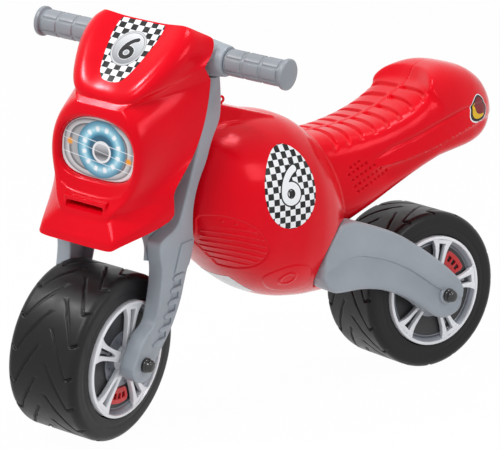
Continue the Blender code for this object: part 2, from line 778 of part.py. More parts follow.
tie_end = ARM_INNER + TIE_ROD_GRIP
tie_rod = turned("arm_tie_rod", [rod_profile(TIE_ROD_RADIUS, -tie_end, tie_end)], PARTS, PIN_SEGMENTS, True)
place(tie_rod, steel, None, (0, TIE_ROD_Y, TIE_ROD_Z), ALONG_X)
tie_bore_profile = rod_profile(TIE_ROD_RADIUS + GAP, -tie_end - GAP, tie_end + GAP)
tie_bore = turned("tie_rod_bore", [tie_bore_profile], CUTTERS, PIN_SEGMENTS)
place(tie_bore, red, None, (0, TIE_ROD_Y, TIE_ROD_Z), ALONG_X)
axle_bore = rod_profile(AXLE_RADIUS + GAP, -CUT_THROUGH / 2, CUT_THROUGH / 2)
rear_bore = turned("rear_axle_bore", [axle_bore], CUTTERS, PIN_SEGMENTS)
place(rear_bore, grey, rear_wheel_axis)
for side_name, flip in (("left", False), ("right", True)):
    rings = arm_rings(ARM_INNER, ARM_OUTER, ARM_CREST, 0.0)
    pocket_rings = arm_rings(ARM_INNER - GAP, ARM_OUTER + 0.03, 0.0, 0.0008)
    arm = loft(side_name + "_swing_arm", mirrored(rings) if flip else rings, PARTS)
    pocket = loft(side_name + "_arm_pocket", mirrored(pocket_rings) if flip else pocket_rings, CUTTERS)
    direction = -1 if flip else 1
    boss = turned(side_name + "_arm_boss",
                  [rod_profile(ARM_BOSS, ARM_OUTER - 0.010, ARM_OUTER + ARM_BOSS_PROUD)], CUTTERS, 18)
    place(arm, grey)
    place(pocket, grey)
    place(boss, grey, None, REAR_AXLE, (0, direction * math.pi / 2, 0))
    boolean(arm, boss, "UNION")
    boolean(arm, rear_bore, "DIFFERENCE")
    boolean(arm, tie_bore, "DIFFERENCE")
    boolean(body, pocket, "DIFFERENCE")
boolean(body, tie_bore, "DIFFERENCE")

# Steering pin with its bushes, nut, crown and top yoke, in the head frame
for bush_name, flange_low, flange_high, sleeve_low, sleeve_high in (
        ("lower_steering_bush", block_low - GAP - BUSH_FLANGE, block_low - GAP,
         block_low - GAP, block_low + BUSH_LENGTH),
        ("upper_steering_bush", HEAD_BLOCK_HIGH + GAP, HEAD_BLOCK_HIGH + GAP + BUSH_FLANGE,
         HEAD_BLOCK_HIGH - BUSH_LENGTH, HEAD_BLOCK_HIGH + GAP)):
    bore = PIN_RADIUS + RUNNING_GAP
    wide = bush_outer + BUSH_RIM
    if flange_low < sleeve_low:
        profile = [(bush_outer, sleeve_high), (bush_outer, flange_high), (wide, flange_high),
                   (wide, flange_low), (bore, flange_low), (bore, sleeve_high)]
    else:
        profile = [(wide, flange_high), (wide, flange_low), (bush_outer, flange_low),
                   (bush_outer, sleeve_low), (bore, sleeve_low), (bore, flange_high)]
    bush = turned(bush_name, [profile], PARTS, PIN_SEGMENTS)
    place(bush, natural, head_axis)

yoke_low = HEAD_BLOCK_HIGH + BUSH_FLANGE + 2 * GAP
yoke_high = yoke_low + YOKE_THICKNESS
crown_low = CROWN_TOP - CROWN_THICKNESS
pin_low = crown_low - PIN_HEAD
pin_high = yoke_high + PIN_TAIL
pin_profile = [(0.0, pin_high), (PIN_RADIUS, pin_high), (PIN_RADIUS, crown_low - GAP),
               (PIN_HEAD_RADIUS, crown_low - GAP), (PIN_HEAD_RADIUS, pin_low + 0.001),
               (PIN_HEAD_RADIUS - 0.002, pin_low), (0.0, pin_low)]
pin = turned("steering_pin", [pin_profile], PARTS, PIN_SEGMENTS, True)
place(pin, steel, steering)
nut_profile = tube_profile(NUT_RADIUS, PIN_RADIUS + GAP, yoke_high + GAP, yoke_high + NUT_HEIGHT)
nut = turned("steering_pin_nut", [nut_profile], PARTS, 6)
place(nut, steel, steering)

pin_bore = turned("pin_bore", [rod_profile(PIN_RADIUS + GAP, pin_low - BORE_OVERRUN, pin_high + BORE_OVERRUN)],
                  CUTTERS, PIN_SEGMENTS)
place(pin_bore, grey, steering)
reach = LEG_INNER - GAP
arch_outline = [(reach, CROWN_TOP), (reach, ARCH_FOOT)]
for degrees in (18, 36, 54, 72, 90):
    angle = math.radians(degrees)
    height = ARCH_FOOT + (crown_low - ARCH_FOOT) * math.sin(angle)
    arch_outline.append((reach - ARCH_SPREAD * (1 - math.cos(angle)), height))
arch_outline += [(-x, t) for x, t in reversed(arch_outline)]
crown = plate("fork_crown", arch_outline, CROWN_FRONT - CROWN_REAR, 0.002, PARTS)
crown_middle = -(CROWN_FRONT + CROWN_REAR) / 2
crown.data.transform(Matrix.Translation((0, crown_middle, 0)) @ Matrix.Rotation(math.pi / 2, 4, "X"))
crown_boss = turned("crown_boss", [rod_profile(PIN_BOSS, crown_low, CROWN_TOP)], CUTTERS)
place(crown, grey, steering)
place(crown_boss, grey, steering)
boolean(crown, crown_boss, "UNION")
boolean(crown, pin_bore, "DIFFERENCE")

yoke_outline = [(reach, -0.015), (reach, 0.009), (YOKE_WAIST, 0.012)]
yoke_outline += arc((0, 0), PIN_BOSS, 45, 135, 6)
yoke_outline += [(-YOKE_WAIST, 0.012), (-reach, 0.009), (-reach, -0.015), (-YOKE_WAIST, -0.015)]
yoke_outline += arc((0, 0), PIN_BOSS, 225, 315, 6)
yoke_outline += [(YOKE_WAIST, -0.015)]
yoke = plate("fork_top_yoke", yoke_outline, YOKE_THICKNESS, 0.0015, PARTS)
yoke.data.transform(Matrix.Translation((0, 0, (yoke_low + yoke_high) / 2)))
place(yoke, grey, steering)
boolean(yoke, pin_bore, "DIFFERENCE")

# Fork legs: front and rear edges as (z, y), with the fork straight
LEG_REAR = (
    (0.460, -0.386), (0.430, -0.3785), (0.404, -0.376), (0.390, -0.378), (0.369, -0.393), (0.344, -0.401),
    (0.325, -0.414), (0.306, -0.4215), (0.286, -0.425), (0.252, -0.421), (0.249, -0.4165), (0.218, -0.4245),
    (0.215, -0.4295), (0.195, -0.435), (0.1745, -0.440), (0.150, -0.453), (0.135, -0.464), (0.1215, -0.477),
)
LEG_FRONT = (
    (0.122, -0.5300), (0.136, -0.5230), (0.148, -0.5120), (0.156, -0.4950), (0.172, -0.4895), (0.200, -0.4850),
    (0.225, -0.4840), (0.240, -0.4900), (0.258, -0.4930), (0.264, -0.4880), (0.271, -0.4580), (0.290, -0.4490),
    (0.330, -0.4350), (0.404, -0.4115), (0.430, -0.4055), (0.460, -0.4020),
)
LEG_POCKETS = (("lower", 0.150, 0.244), ("upper", 0.285, 0.405))


def leg_pocket(low, high, steps):
    """The channel open to the wheel's side, whose walls follow the leg's edges."""
    heights = [low + (high - low) * i / steps for i in range(steps + 1)]
    rear = [(inset_at(LEG_REAR, z, -LEG_WALL), z) for z in reversed(heights)]
    front = [(inset_at(LEG_FRONT, z, LEG_WALL), z) for z in heights]
    return rear + front


outline = [(y, z) for z, y in LEG_REAR]
outline += arc((FRONT_AXLE.y, FRONT_AXLE.z), LEG_LOBE, 0, -180, 8)
outline += [(y, z) for z, y in LEG_FRONT]
bar_saddle = turned("bar_saddle", [rod_profile(COLLAR_INNER_RADIUS + GAP, -CUT_THROUGH / 2, CUT_THROUGH / 2)],
                    CUTTERS, BAR_SEGMENTS)
steer(bar_saddle, grey, (0, BAR_Y, BAR_Z), ALONG_X)
front_bore = turned("front_axle_bore", [axle_bore], CUTTERS, PIN_SEGMENTS)
place(front_bore, grey, front_wheel_axis)
for side_name, direction in (("left", 1), ("right", -1)):
    faces = sorted((direction * LEG_INNER, direction * LEG_OUTER))
    leg = side_plate("fork_" + side_name + "_leg", outline, faces[0], faces[1], 0.0025, PARTS)
    steer(leg, grey)
    for pocket_name, low, high in LEG_POCKETS:
        open_faces = sorted((direction * (LEG_INNER - 0.01), direction * (LEG_OUTER - LEG_WALL)))
        channel = side_plate(side_name + "_" + pocket_name + "_channel", leg_pocket(low, high, 4),
                             open_faces[0], open_faces[1], 0.001, CUTTERS)
        steer(channel, grey)
        boolean(leg, channel, "DIFFERENCE")
    frames = []
    for index in range(LEG_NOTCHES):
        height = LEG_NOTCH_LOW + LEG_NOTCH_PITCH * index
        rear_y = inset_at(LEG_REAR, height, -LEG_NOTCH_MARGIN)
        frames.append(Matrix.Translation((direction * LEG_OUTER, rear_y - LEG_NOTCH_LENGTH / 2, height)))
    notches = boxes(side_name + "_leg_notches", frames, (2 * LEG_NOTCH_DEPTH, LEG_NOTCH_LENGTH, LEG_NOTCH_HEIGHT),
                    CUTTERS)
    steer(notches, grey)
    boolean(leg, notches, "DIFFERENCE")
    boolean(leg, bar_saddle, "DIFFERENCE")
    boolean(leg, front_bore, "DIFFERENCE")

# Handlebar and grips
bar_half = BAR_LENGTH / 2
core_end = bar_half - 0.006
bar_side = [(BAR_CORE, core_end), (BAR_CORE, COLLAR_END), (COLLAR_OUTER_RADIUS - 0.001, COLLAR_END),
            (COLLAR_OUTER_RADIUS, COLLAR_END - 0.001), (COLLAR_INNER_RADIUS, LEG_INNER + 0.008),
            (COLLAR_INNER_RADIUS, LEG_INNER - 0.006), (BAR_RADIUS, LEG_INNER - 0.012)]
bar_profile = [(0.0, core_end)] + bar_side + [(r, -x) for r, x in reversed(bar_side)] + [(0.0, -core_end)]
handlebar = turned("handlebar", [bar_profile], PARTS, BAR_SEGMENTS)
steer(handlebar, grey, (0, BAR_Y, BAR_Z), ALONG_X)


def grip_ring(height, radius, pad):
    ring = []
    for i in range(PADS_AROUND):
        for fraction, raised in ((0.0, False), (0.14, True), (0.70, True)):
            angle = math.tau * (i + fraction) / PADS_AROUND
            r = radius + (pad if raised else 0.0)
            ring.append(Vector((r * math.cos(angle), r * math.sin(angle), height)))
    return ring


def grip_rings():
    start = COLLAR_END + GAP
    flange = bar_half - 0.007
    rings = [grip_ring(start, GRIP_RADIUS, 0.0)]
    pitch = (flange - start - PAD_GROOVE) / PADS_ALONG
    for row in range(PADS_ALONG):
        low = start + PAD_GROOVE + row * pitch
        high = low + pitch - PAD_GROOVE
        rings += [grip_ring(low, GRIP_RADIUS, 0.0), grip_ring(low + GRIP_PAD, GRIP_RADIUS, GRIP_PAD),
                  grip_ring(high, GRIP_RADIUS, GRIP_PAD)]
    rings += [grip_ring(flange, GRIP_RADIUS, 0.0), grip_ring(flange + 0.001, GRIP_FLANGE, 0.0),
              grip_ring(bar_half - 0.001, GRIP_FLANGE, 0.0), grip_ring(bar_half, GRIP_FLANGE - 0.0015, 0.0)]
    return rings


for side_name, direction in (("left", 1), ("right", -1)):
    grip = loft(side_name + "_grip", grip_rings(), PARTS)
    bore_profile = rod_profile(BAR_CORE + GAP, LEG_INNER, core_end + GAP)
    grip_bore = turned(side_name + "_grip_bore", [bore_profile], CUTTERS, PIN_SEGMENTS)
    steer(grip, grip_grey, (0, BAR_Y, BAR_Z), (0, direction * math.pi / 2, 0))
    steer(grip_bore, grip_grey, (0, BAR_Y, BAR_Z), (0, direction * math.pi / 2, 0))
    boolean(grip, grip_bore, "DIFFERENCE")

# Fairing rows from the top rim to the beak's lower edge: front z, front y, panel x, corner x, corner radius,
# rear x, rear y, rear z, lobe, hollow, crease
FAIRING = (
    (0.5140, -0.4320, 0.033, 0.066, 0.016, 0.0800, -0.412, 0.508, 0.0035, 0.000, 0.5),
    (0.5030, -0.4430, 0.034, 0.072, 0.020, 0.0850, -0.410, 0.500, 0.0050, 0.000, 0.0),
    (0.4760, -0.4740, 0.029, 0.076, 0.023, 0.0875, -0.414, 0.486, 0.0060, 0.000, 0.0),
    (0.4360, -0.5175, 0.016, 0.052, 0.026, 0.0880, -0.428, 0.474, 0.0, 0.000, 0.0),
    (0.4285, -0.5165, 0.014, 0.044, 0.018, 0.0870, -0.431, 0.469, 0.0, 0.000, 0.6),
    (0.4205, -0.5240, 0.014, 0.035, 0.007, 0.0895, -0.420, 0.453, 0.0, 0.000, 0.8),
    (0.4090, -0.5285, 0.020, 0.052, 0.010, 0.0900, -0.421, 0.437, 0.0, 0.001, 0.0),
    (0.3820, -0.5285, 0.027, 0.066, 0.009, 0.0905, -0.4265, 0.405, 0.0, 0.002, 0.0),
    (0.3500, -0.5285, 0.028, 0.0675, 0.009, 0.0900, -0.442, 0.369, 0.0, 0.004, 0.0),
    (0.3200, -0.5280, 0.026, 0.057, 0.010, 0.0895, -0.468, 0.343, 0.0, 0.004, 0.0),
    (0.3030, -0.5430, 0.022, 0.044, 0.011, 0.0890, -0.481, 0.331, 0.0, 0.003, 0.0),
    (0.2890, -0.5450, 0.018, 0.036, 0.010, 0.0885, -0.484, 0.322, 0.0, 0.002, 0.7),
    (0.2680, -0.5570, 0.026, 0.053, 0.006, 0.0890, -0.482, 0.304, 0.0, 0.000, 0.4),
    (0.2590, -0.5580, 0.028, 0.0555, 0.005, 0.0890, -0.479, 0.290, 0.0, 0.000, 0.9),
)


lamp_front_y = min(row[1] for row in FAIRING if LAMP_Z_BOTTOM < row[0] < LAMP_Z_TOP)
lamp_face_y = lamp_front_y + LAMP_RECESS


def fairing_row(row):
    """Half a row: the middle panel, a lobe beside it, the corner, and the hollow side back to the edge."""
    front_z, front_y, panel_x, corner_x, radius, rear_x, rear_y, rear_z, lobe, hollow, crease = row
    corner = Vector((corner_x, front_y))
    rear = Vector((rear_x, rear_y))
    side = (rear - corner).normalized()
    inward = Vector((-abs(side.y), side.x))
    turn = math.acos(max(-1.0, min(1.0, side.x)))
    tangent = radius * math.tan(turn / 2) * 0.75
    start = corner - Vector((tangent, 0))
    end = corner + side * tangent
    middle = end + (rear - end) * 0.5 + inward * hollow
    points = []
    for point, back, swell in ((Vector((0, front_y)), 0.0, 0.0), (Vector((panel_x, front_y)), 0.0, 0.0),
                               (start, 0.0, lobe), (end, 0.25, lobe * 0.6), (middle, 0.6, 0.0), (rear, 1.0, 0.0)):
        points.append(Vector((point.x, point.y - swell, front_z + (rear_z - front_z) * back ** 1.3 + swell * 0.6)))
    return points


def lamp_outline(grow):
    """The lamp's outline as (x, z): rounder above its widest height and squarer below."""
    outline = []
    for i in range(LAMP_SEGMENTS):
        angle = math.tau * i / LAMP_SEGMENTS
        if math.sin(angle) >= 0:
            power = LAMP_TOP_POWER
            height = LAMP_Z_TOP - LAMP_Z_WIDE + grow
        else:
            power = LAMP_LOW_POWER
            height = LAMP_Z_WIDE - LAMP_Z_BOTTOM + grow
        outline.append(((LAMP_HALF_WIDTH + grow) * signed_power(math.cos(angle), 2 / power),
                        LAMP_Z_WIDE + height * signed_power(math.sin(angle), 2 / power)))
    return outline


def lamp_plug(name, grow, front_y, rear_y, rounding, collection):
    obj = plate(name, lamp_outline(grow), rear_y - front_y, rounding, collection)
    obj.data.transform(Matrix.Translation((0, (front_y + rear_y) / 2, 0)) @ Matrix.Rotation(math.pi / 2, 4, "X"))
    return obj


def lamp_flare(name, collection):
    """The opening's flared edge: wide at the fairing's face and narrow at the lamp."""
    rings = []
    for ahead, grow in ((3 * LAMP_FLARE_DEPTH, LAMP_FLARE * 1.2), (LAMP_FLARE_DEPTH, LAMP_FLARE * 0.6), (0.0, GAP)):
        rings.append([Vector((x, lamp_face_y - ahead, z)) for x, z in lamp_outline(grow)])
    return loft(name, rings, collection)


bm = bmesh.new()
crease_layer = bm.edges.layers.float.new("crease_edge")
grid = [[bm.verts.new(point) for point in fairing_row(row)] for row in FAIRING]
for upper, lower in zip(grid, grid[1:]):
    for i in range(len(upper) - 1):
        bm.faces.new((upper[i], lower[i], lower[i + 1], upper[i + 1]))
bm.edges.ensure_lookup_table()
for verts, row in zip(grid, FAIRING):
    for a, b in zip(verts, verts[1:]):
        edge = bm.edges.get((a, b))
        edge[crease_layer] = row[-1]
fairing_mesh = bpy.data.meshes.new("front_fairing")
bm.to_mesh(fairing_mesh)
bm.free()
fairing = add_mesh("front_fairing", fairing_mesh, PARTS)
mirror = fairing.modifiers.new("Mirror", "MIRROR")
mirror.use_axis = (True, False, False)
mirror.merge_threshold = 0.0001
rounder = fairing.modifiers.new("Subdivision", "SUBSURF")
rounder.levels = 1
rounder.render_levels = 1
thicken = fairing.modifiers.new("Solidify", "SOLIDIFY")
thicken.thickness = FAIRING_WALL
thicken.offset = -1.0
steer(fairing, red)

bowl = lamp_plug("lamp_bowl", LAMP_BOWL_WALL, lamp_face_y - LAMP_BOWL_REACH, lamp_face_y + LAMP_PLATE + LAMP_FLOOR,
                 0.0005, CUTTERS)
opening = lamp_plug("lamp_opening", GAP * 2, lamp_face_y - 5 * LAMP_BOWL_REACH, lamp_face_y + LAMP_PLATE + GAP,
                    0.0001, CUTTERS)
headlight = lamp_plug("headlight_plate", 0.0, lamp_face_y, lamp_face_y + LAMP_PLATE, 0.001, PARTS)
flare = lamp_flare("lamp_flare", CUTTERS)
air_slot = boxes("air_slot", [Matrix.Translation((0, lamp_face_y - 0.02, SLOT_Z))],
                 (2 * SLOT_HALF_WIDTH, 0.05, SLOT_HEIGHT), CUTTERS)
bevel(air_slot, SLOT_HEIGHT * 0.35, 2, 60)
for obj in (bowl, opening, flare, air_slot):
    steer(obj, red)
steer(headlight, lamp)

# The fairing's posts: two reach the legs' front edges, where screws hold them, and two rest on the crown


def reach_into_wall(skin, start, direction, radius):
    """How far a post can run from start, by where its rim and axis meet the wall's outer side."""
    side = direction.cross(Vector((1, 0, 0))).normalized()
    nearest = 1.0
    for i in range(POST_SIDES + 1):
        offset = Vector((0, 0, 0))
        if i < POST_SIDES:
            angle = math.tau * i / POST_SIDES
            offset = Vector((math.cos(angle), 0, 0)) * radius + side * radius * math.sin(angle)
        hit, inner, _, _ = skin.ray_cast(start + offset, direction)
        outer_hit, outer, _, _ = skin.ray_cast(inner + direction * 0.0001, direction)
        if hit and outer_hit:
            nearest = min(nearest, (outer - start).dot(direction))
    return nearest - POST_COVER


leg_front_y = inset_at(LEG_FRONT, POST_Z - POST_RADIUS, 0.0)
leg_rear_y = inset_at(LEG_REAR, POST_Z - SCREW_HEAD, 0.0)
screw_end = -leg_front_y + SCREW_DEPTH
screw_seat = -leg_rear_y - GAP
screw_profile = [(0.0, screw_end), (SCREW_RADIUS, screw_end - 0.002), (SCREW_RADIUS, screw_seat),
                 (SCREW_HEAD, screw_seat), (SCREW_HEAD, screw_seat - 0.0015), (0.0, screw_seat - 0.003)]
post_start = Vector((POST_X, leg_front_y - GAP, POST_Z))
to_steering = Matrix.Rotation(RAKE, 3, "X")
rest_start = Vector((REST_X, -CROWN_FRONT - GAP, CROWN_TOP - CROWN_THICKNESS * 0.4))
rest_from = to_steering.inverted() @ rest_start + HEAD
rest_way = to_steering.inverted() @ Vector((0, -1, 0))
bpy.context.view_layer.update()
skin = fairing.evaluated_get(bpy.context.evaluated_depsgraph_get())
upper_reach = reach_into_wall(skin, post_start, Vector((0, -1, 0)), POST_RADIUS)
lower_reach = reach_into_wall(skin, rest_from, rest_way, POST_RADIUS)
upper_post = rod_profile(POST_RADIUS, -post_start.y, upper_reach - post_start.y)
lower_post = rod_profile(POST_RADIUS, -rest_start.y, lower_reach - rest_start.y)
for operand, operation in ((bowl, "UNION"), (opening, "DIFFERENCE"), (flare, "DIFFERENCE"),
                           (air_slot, "DIFFERENCE")):
    boolean(fairing, operand, operation)
for side_name, direction in (("left", 1), ("right", -1)):
    post = turned(side_name + "_fairing_post", [upper_post], CUTTERS, POST_SIDES)
    steer(post, red, (direction * POST_X, 0, POST_Z), (math.pi / 2, 0, 0))
    boolean(fairing, post, "UNION")
    rest = turned(side_name + "_fairing_rest", [lower_post], CUTTERS, POST_SIDES)
    place(rest, red, steering, (direction * REST_X, 0, rest_start.z), (math.pi / 2, 0, 0))
    boolean(fairing, rest, "UNION")
    screw = turned(side_name + "_fairing_screw", [screw_profile], PARTS, 10, True)
    steer(screw, steel, (direction * POST_X, 0, POST_Z), (math.pi / 2, 0, 0))
    hole = turned(side_name + "_screw_hole",
                  [rod_profile(SCREW_RADIUS + GAP, -leg_rear_y - 0.01, screw_end + GAP)], CUTTERS, 10)
    steer(hole, steel, (direction * POST_X, 0, POST_Z), (math.pi / 2, 0, 0))
    boolean(fairing, hole, "DIFFERENCE")
    boolean(bpy.data.objects["fork_" + side_name + "_leg"], hole, "DIFFERENCE")

# The small ring on the head block, with its stem in a blind hole
block_top_z = HEAD_Z + (HEAD_BLOCK_HIGH - (EYELET_Y - HEAD_Y) * math.sin(RAKE)) / math.cos(RAKE)
eyelet_centre = (0, EYELET_Y, block_top_z + EYELET_RADIUS + EYELET_WIRE + 0.0015)
wire = [(EYELET_RADIUS + EYELET_WIRE * math.sin(a), EYELET_WIRE * math.cos(a))
        for a in (math.tau * i / 6 for i in range(6))]
eyelet = turned("cord_eyelet", [wire], PARTS, PIN_SEGMENTS)
place(eyelet, red, None, eyelet_centre, ALONG_X)
stem = turned("eyelet_stem", [rod_profile(EYELET_WIRE, -0.014, -EYELET_RADIUS)], CUTTERS, 8, True)
place(stem, red, None, eyelet_centre)
boolean(eyelet, stem, "UNION")
stem_hole = turned("eyelet_stem_hole", [rod_profile(EYELET_WIRE + GAP, -0.0145, 0.0)], CUTTERS, 8)
place(stem_hole, red, None, eyelet_centre)
boolean(body, stem_hole, "DIFFERENCE")

for obj in PARTS.objects:
    if obj.type == "MESH" and not any(m.type == "SCREW" for m in obj.modifiers):
        smooth(obj)
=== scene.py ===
import json
import math

import bmesh
import bpy
import numpy as np
from mathutils import Matrix, Vector
from mathutils.bvhtree import BVHTree


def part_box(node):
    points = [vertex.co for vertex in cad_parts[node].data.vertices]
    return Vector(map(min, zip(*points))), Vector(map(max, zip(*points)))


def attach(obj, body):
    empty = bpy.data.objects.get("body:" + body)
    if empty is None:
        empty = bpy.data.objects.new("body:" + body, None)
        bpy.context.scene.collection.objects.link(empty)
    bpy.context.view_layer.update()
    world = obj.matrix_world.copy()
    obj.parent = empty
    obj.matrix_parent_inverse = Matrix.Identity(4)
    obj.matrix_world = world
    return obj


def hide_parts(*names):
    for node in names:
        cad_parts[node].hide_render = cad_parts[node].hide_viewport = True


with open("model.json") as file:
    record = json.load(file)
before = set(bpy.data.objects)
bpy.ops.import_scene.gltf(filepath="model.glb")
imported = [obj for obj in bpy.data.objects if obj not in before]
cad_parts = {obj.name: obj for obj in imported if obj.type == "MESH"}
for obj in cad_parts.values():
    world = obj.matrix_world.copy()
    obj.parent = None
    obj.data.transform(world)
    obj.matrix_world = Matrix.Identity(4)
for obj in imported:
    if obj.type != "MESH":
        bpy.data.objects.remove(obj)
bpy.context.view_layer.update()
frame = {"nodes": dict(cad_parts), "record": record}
scene = bpy.context.scene
SIDES = (("left", 1), ("right", -1))

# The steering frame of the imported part: from the fork held straight to its turned place at rest
RAKE = math.radians(16.4)
STEER_TURN = math.radians(23.7)
HEAD = Vector((0, -0.4248, 0.3))
FRONT_AXLE = Vector((0, -0.5125, 0.110707))
REAR_AXLE = Vector((0, 0, 0.106))
TURN = Matrix.Rotation(-RAKE, 3, "X") @ Matrix.Rotation(STEER_TURN, 3, "Z") @ Matrix.Rotation(RAKE, 3, "X")
STEERED = Matrix.Translation(HEAD) @ TURN.to_4x4() @ Matrix.Translation(-HEAD)
HEAD_FRAME = Matrix.Translation(HEAD) @ Matrix.Rotation(-RAKE, 4, "X")
STEER_FRAME = HEAD_FRAME @ Matrix.Rotation(STEER_TURN, 4, "Z")
UPRIGHT = Matrix.Rotation(math.pi / 2, 4, "X")
SIDE_FRAME = Matrix(((0, 0, 1, 0), (1, 0, 0, 0), (0, 1, 0, 0), (0, 0, 0, 1)))


# Materials

class Tree:
    """Adds nodes to a shader tree. An input takes a number, a colour, a Vector or another node's output."""

    def __init__(self, tree):
        self.tree = tree

    def feed(self, socket, value):
        if isinstance(value, bpy.types.NodeSocket):
            self.tree.links.new(value, socket)
        else:
            socket.default_value = (*value, 1.0) if isinstance(value, tuple) else value

    def add(self, kind, inputs=(), **settings):
        node = self.tree.nodes.new("ShaderNode" + kind)
        for key, value in settings.items():
            setattr(node, key, value)
        for key, value in inputs:
            self.feed(node.inputs[key], value)
        return node

    def math(self, operation, *values):
        return self.add("Math", enumerate(values), operation=operation).outputs[0]

    def seen(self):
        """1 for rays from the camera, a mirror or glass."""
        ray = self.add("LightPath").outputs
        return self.math("MAXIMUM", ray["Is Camera Ray"],
                         self.math("MAXIMUM", ray["Is Glossy Ray"], ray["Is Transmission Ray"]))


class Nodes(Tree):
    """One material's nodes, round its Principled BSDF."""

    def __init__(self, name):
        self.material = bpy.data.materials.new(name)
        self.material.use_nodes = True
        super().__init__(self.material.node_tree)
        self.shader = self.tree.nodes["Principled BSDF"]
        self.coordinates = self.add("TexCoord").outputs["Object"]

    def set(self, **values):
        for key, value in values.items():
            self.feed(self.shader.inputs[key.replace("_", " ")], value)

    def noise(self, scale, detail=2.0, roughness=0.5):
        return self.add("TexNoise", (("Vector", self.coordinates), ("Scale", scale), ("Detail", detail),
                                     ("Roughness", roughness))).outputs["Fac"]

    def ramp(self, value, stops):
        node = self.add("ValToRGB", (("Fac", value),))
        elements = node.color_ramp.elements
        while len(elements) < len(stops):
            elements.new(0.5)
        for element, (place, colour) in zip(elements, stops):
            element.position = place
            element.color = (*colour, 1.0)
        return node.outputs["Color"]

    def map(self, value, low, high, to_low=0.0, to_high=1.0, smooth=False):
        return self.add("MapRange", (("Value", value), ("From Min", low), ("From Max", high), ("To Min", to_low),
                                     ("To Max", to_high)),
                        interpolation_type="SMOOTHSTEP" if smooth else "LINEAR").outputs["Result"]

    def mix(self, factor, a, b):
        return self.add("Mix", ((0, factor), (6, a), (7, b)), data_type="RGBA").outputs[2]

    def bump(self, height, distance, strength, *normal):
        inputs = [("Distance", distance), ("Strength", strength), ("Height", height)]
        return self.add("Bump", inputs + [("Normal", below) for below in normal]).outputs["Normal"]


def moulded(name, colour, roughness, shades=(0.82, 1.1), grain=(900.0, 0.00003), ripple=(30.0, 0.0003), coat=0.0,
            edge_highlight=((1.0, 1.0, 1.0), 0.15), metallic=0.0, specular=0.5, tint=(1.0, 1.0, 1.0)):
    """Moulded plastic: a little mottling, a ripple and a grain, each as (scale, depth), and a painted highlight that
    turns convex edges paler, given as (colour, amount).
    """
    n = Nodes(name)
    base = n.ramp(n.noise(14.0, 3.0), [(place, [min(1.0, c * shade) for c in colour])
                                       for place, shade in zip((0.3, 0.7), shades)])
    # Painted highlight: convex edges are shifted towards a paler colour, as if they caught the light
    edge = n.map(n.add("NewGeometry").outputs["Pointiness"], 0.52, 0.6)
    waves = n.bump(n.noise(ripple[0], 1.0), ripple[1], 0.6)
    n.set(Base_Color=n.mix(n.math("MULTIPLY", edge, edge_highlight[1]), base, edge_highlight[0]),
          Roughness=n.map(n.noise(55.0, 4.0, 0.6), 0.3, 0.7, roughness * 0.85, roughness * 1.2),
          Normal=n.bump(n.noise(grain[0], 2.0), grain[1], 0.5, waves), Metallic=metallic,
          Specular_IOR_Level=specular, Specular_Tint=tint, Coat_Weight=coat, Coat_Roughness=0.08)
    return n.material


# Each material's edge colour and amount set the painted highlight along its convex edges
SLOTS = {
    "red_plastic": moulded("glossy_red_plastic", (0.76, 0.002, 0.011), 0.18, (0.95, 1.04), (700.0, 0.00001),
                           (22.0, 0.0002), edge_highlight=((0.85, 0.03, 0.04), 0.0), tint=(1.0, 0.15, 0.19)),
    "grey_plastic": moulded("satin_grey_plastic", (0.33, 0.365, 0.405), 0.4, (0.92, 1.08), (1100.0, 0.00004),
                            (40.0, 0.0002), edge_highlight=((0.5, 0.53, 0.56), 0.25)),
    "grip_vinyl": moulded("grip_plastic", (0.27, 0.29, 0.32), 0.38, (0.9, 1.1), (1300.0, 0.00005), (60.0, 0.0001),
                          edge_highlight=((0.4, 0.42, 0.45), 0.2)),
    "tyre_rubber": moulded("tyre_plastic", (0.0075, 0.007, 0.0078), 0.36, (0.9, 1.15), (1000.0, 0.00005),
                           (60.0, 0.0002), edge_highlight=((0.12, 0.12, 0.13), 0.06), specular=0.28),
    "silver_plastic": moulded("silver_plastic", (0.84, 0.85, 0.88), 0.22, (0.98, 1.02), (1500.0, 0.000008),
                              (60.0, 0.00004), 0.2, ((0.85, 0.85, 0.87), 0.0), 0.12),
    "steel": moulded("plated_steel", (0.55, 0.56, 0.57), 0.32, (0.9, 1.1), (1500.0, 0.00002), (60.0, 0.0001),
                     edge_highlight=((0.8, 0.8, 0.8), 0.2), metallic=1.0),
    "black_plastic": moulded("black_cap_plastic", (0.012, 0.012, 0.014), 0.16, (0.9, 1.1), (1200.0, 0.00001),
                             (50.0, 0.0001), 0.3, ((0.1, 0.1, 0.1), 0.0)),
    "natural_nylon": moulded("natural_nylon", (0.74, 0.73, 0.68), 0.45),
}
SLOTS["lamp_plate"] = SLOTS["silver_plastic"]
CALIPER_RED = moulded("caliper_red", (0.6, 0.012, 0.016), 0.35, (0.9, 1.1))
GRAPHITE = moulded("graphite_plastic", (0.028, 0.028, 0.03), 0.42, (0.85, 1.15))
DISC_GREY = moulded("brushed_disc", (0.22, 0.23, 0.26), 0.38, (0.85, 1.15), (1500.0, 0.00003), (80.0, 0.0001),
                    edge_highlight=((0.5, 0.5, 0.5), 0.3), metallic=0.7)
for part in frame["record"]["subparts"]:
    materials = frame["nodes"][part["node"]].data.materials
    materials.clear()
    materials.append(SLOTS[part["material_slot"]])


# Outlines

def polar(radius, degrees, centre=(0, 0)):
    turn = math.radians(degrees)
    return (centre[0] + radius * math.cos(turn), centre[1] + radius * math.sin(turn))


def arc(centre, radius, start, end, steps):
    return [polar(radius, a, centre) for a in np.linspace(start, end, steps + 1)]


def circle(radius, count, centre=(0, 0)):
    return [polar(radius, 360 * i / count, centre) for i in range(count)]


def rotated(points, degrees):
    c, s = polar(1, degrees)
    return [(x * c - y * s, x * s + y * c) for x, y in points]


def mirrored(half, u=1, v=-1, skip=0):
    """The half outline and its other half, flipped."""
    return half + [(a * u, b * v) for a, b in reversed(half[skip:])]


def over(base, *points):
    """(radius, height) points with their heights measured from a base."""
    return [(radius, base + height) for radius, height in points]


def sided(rings, side):
    return [[(side * x, y, z) for x, y, z in ring] for ring in rings]


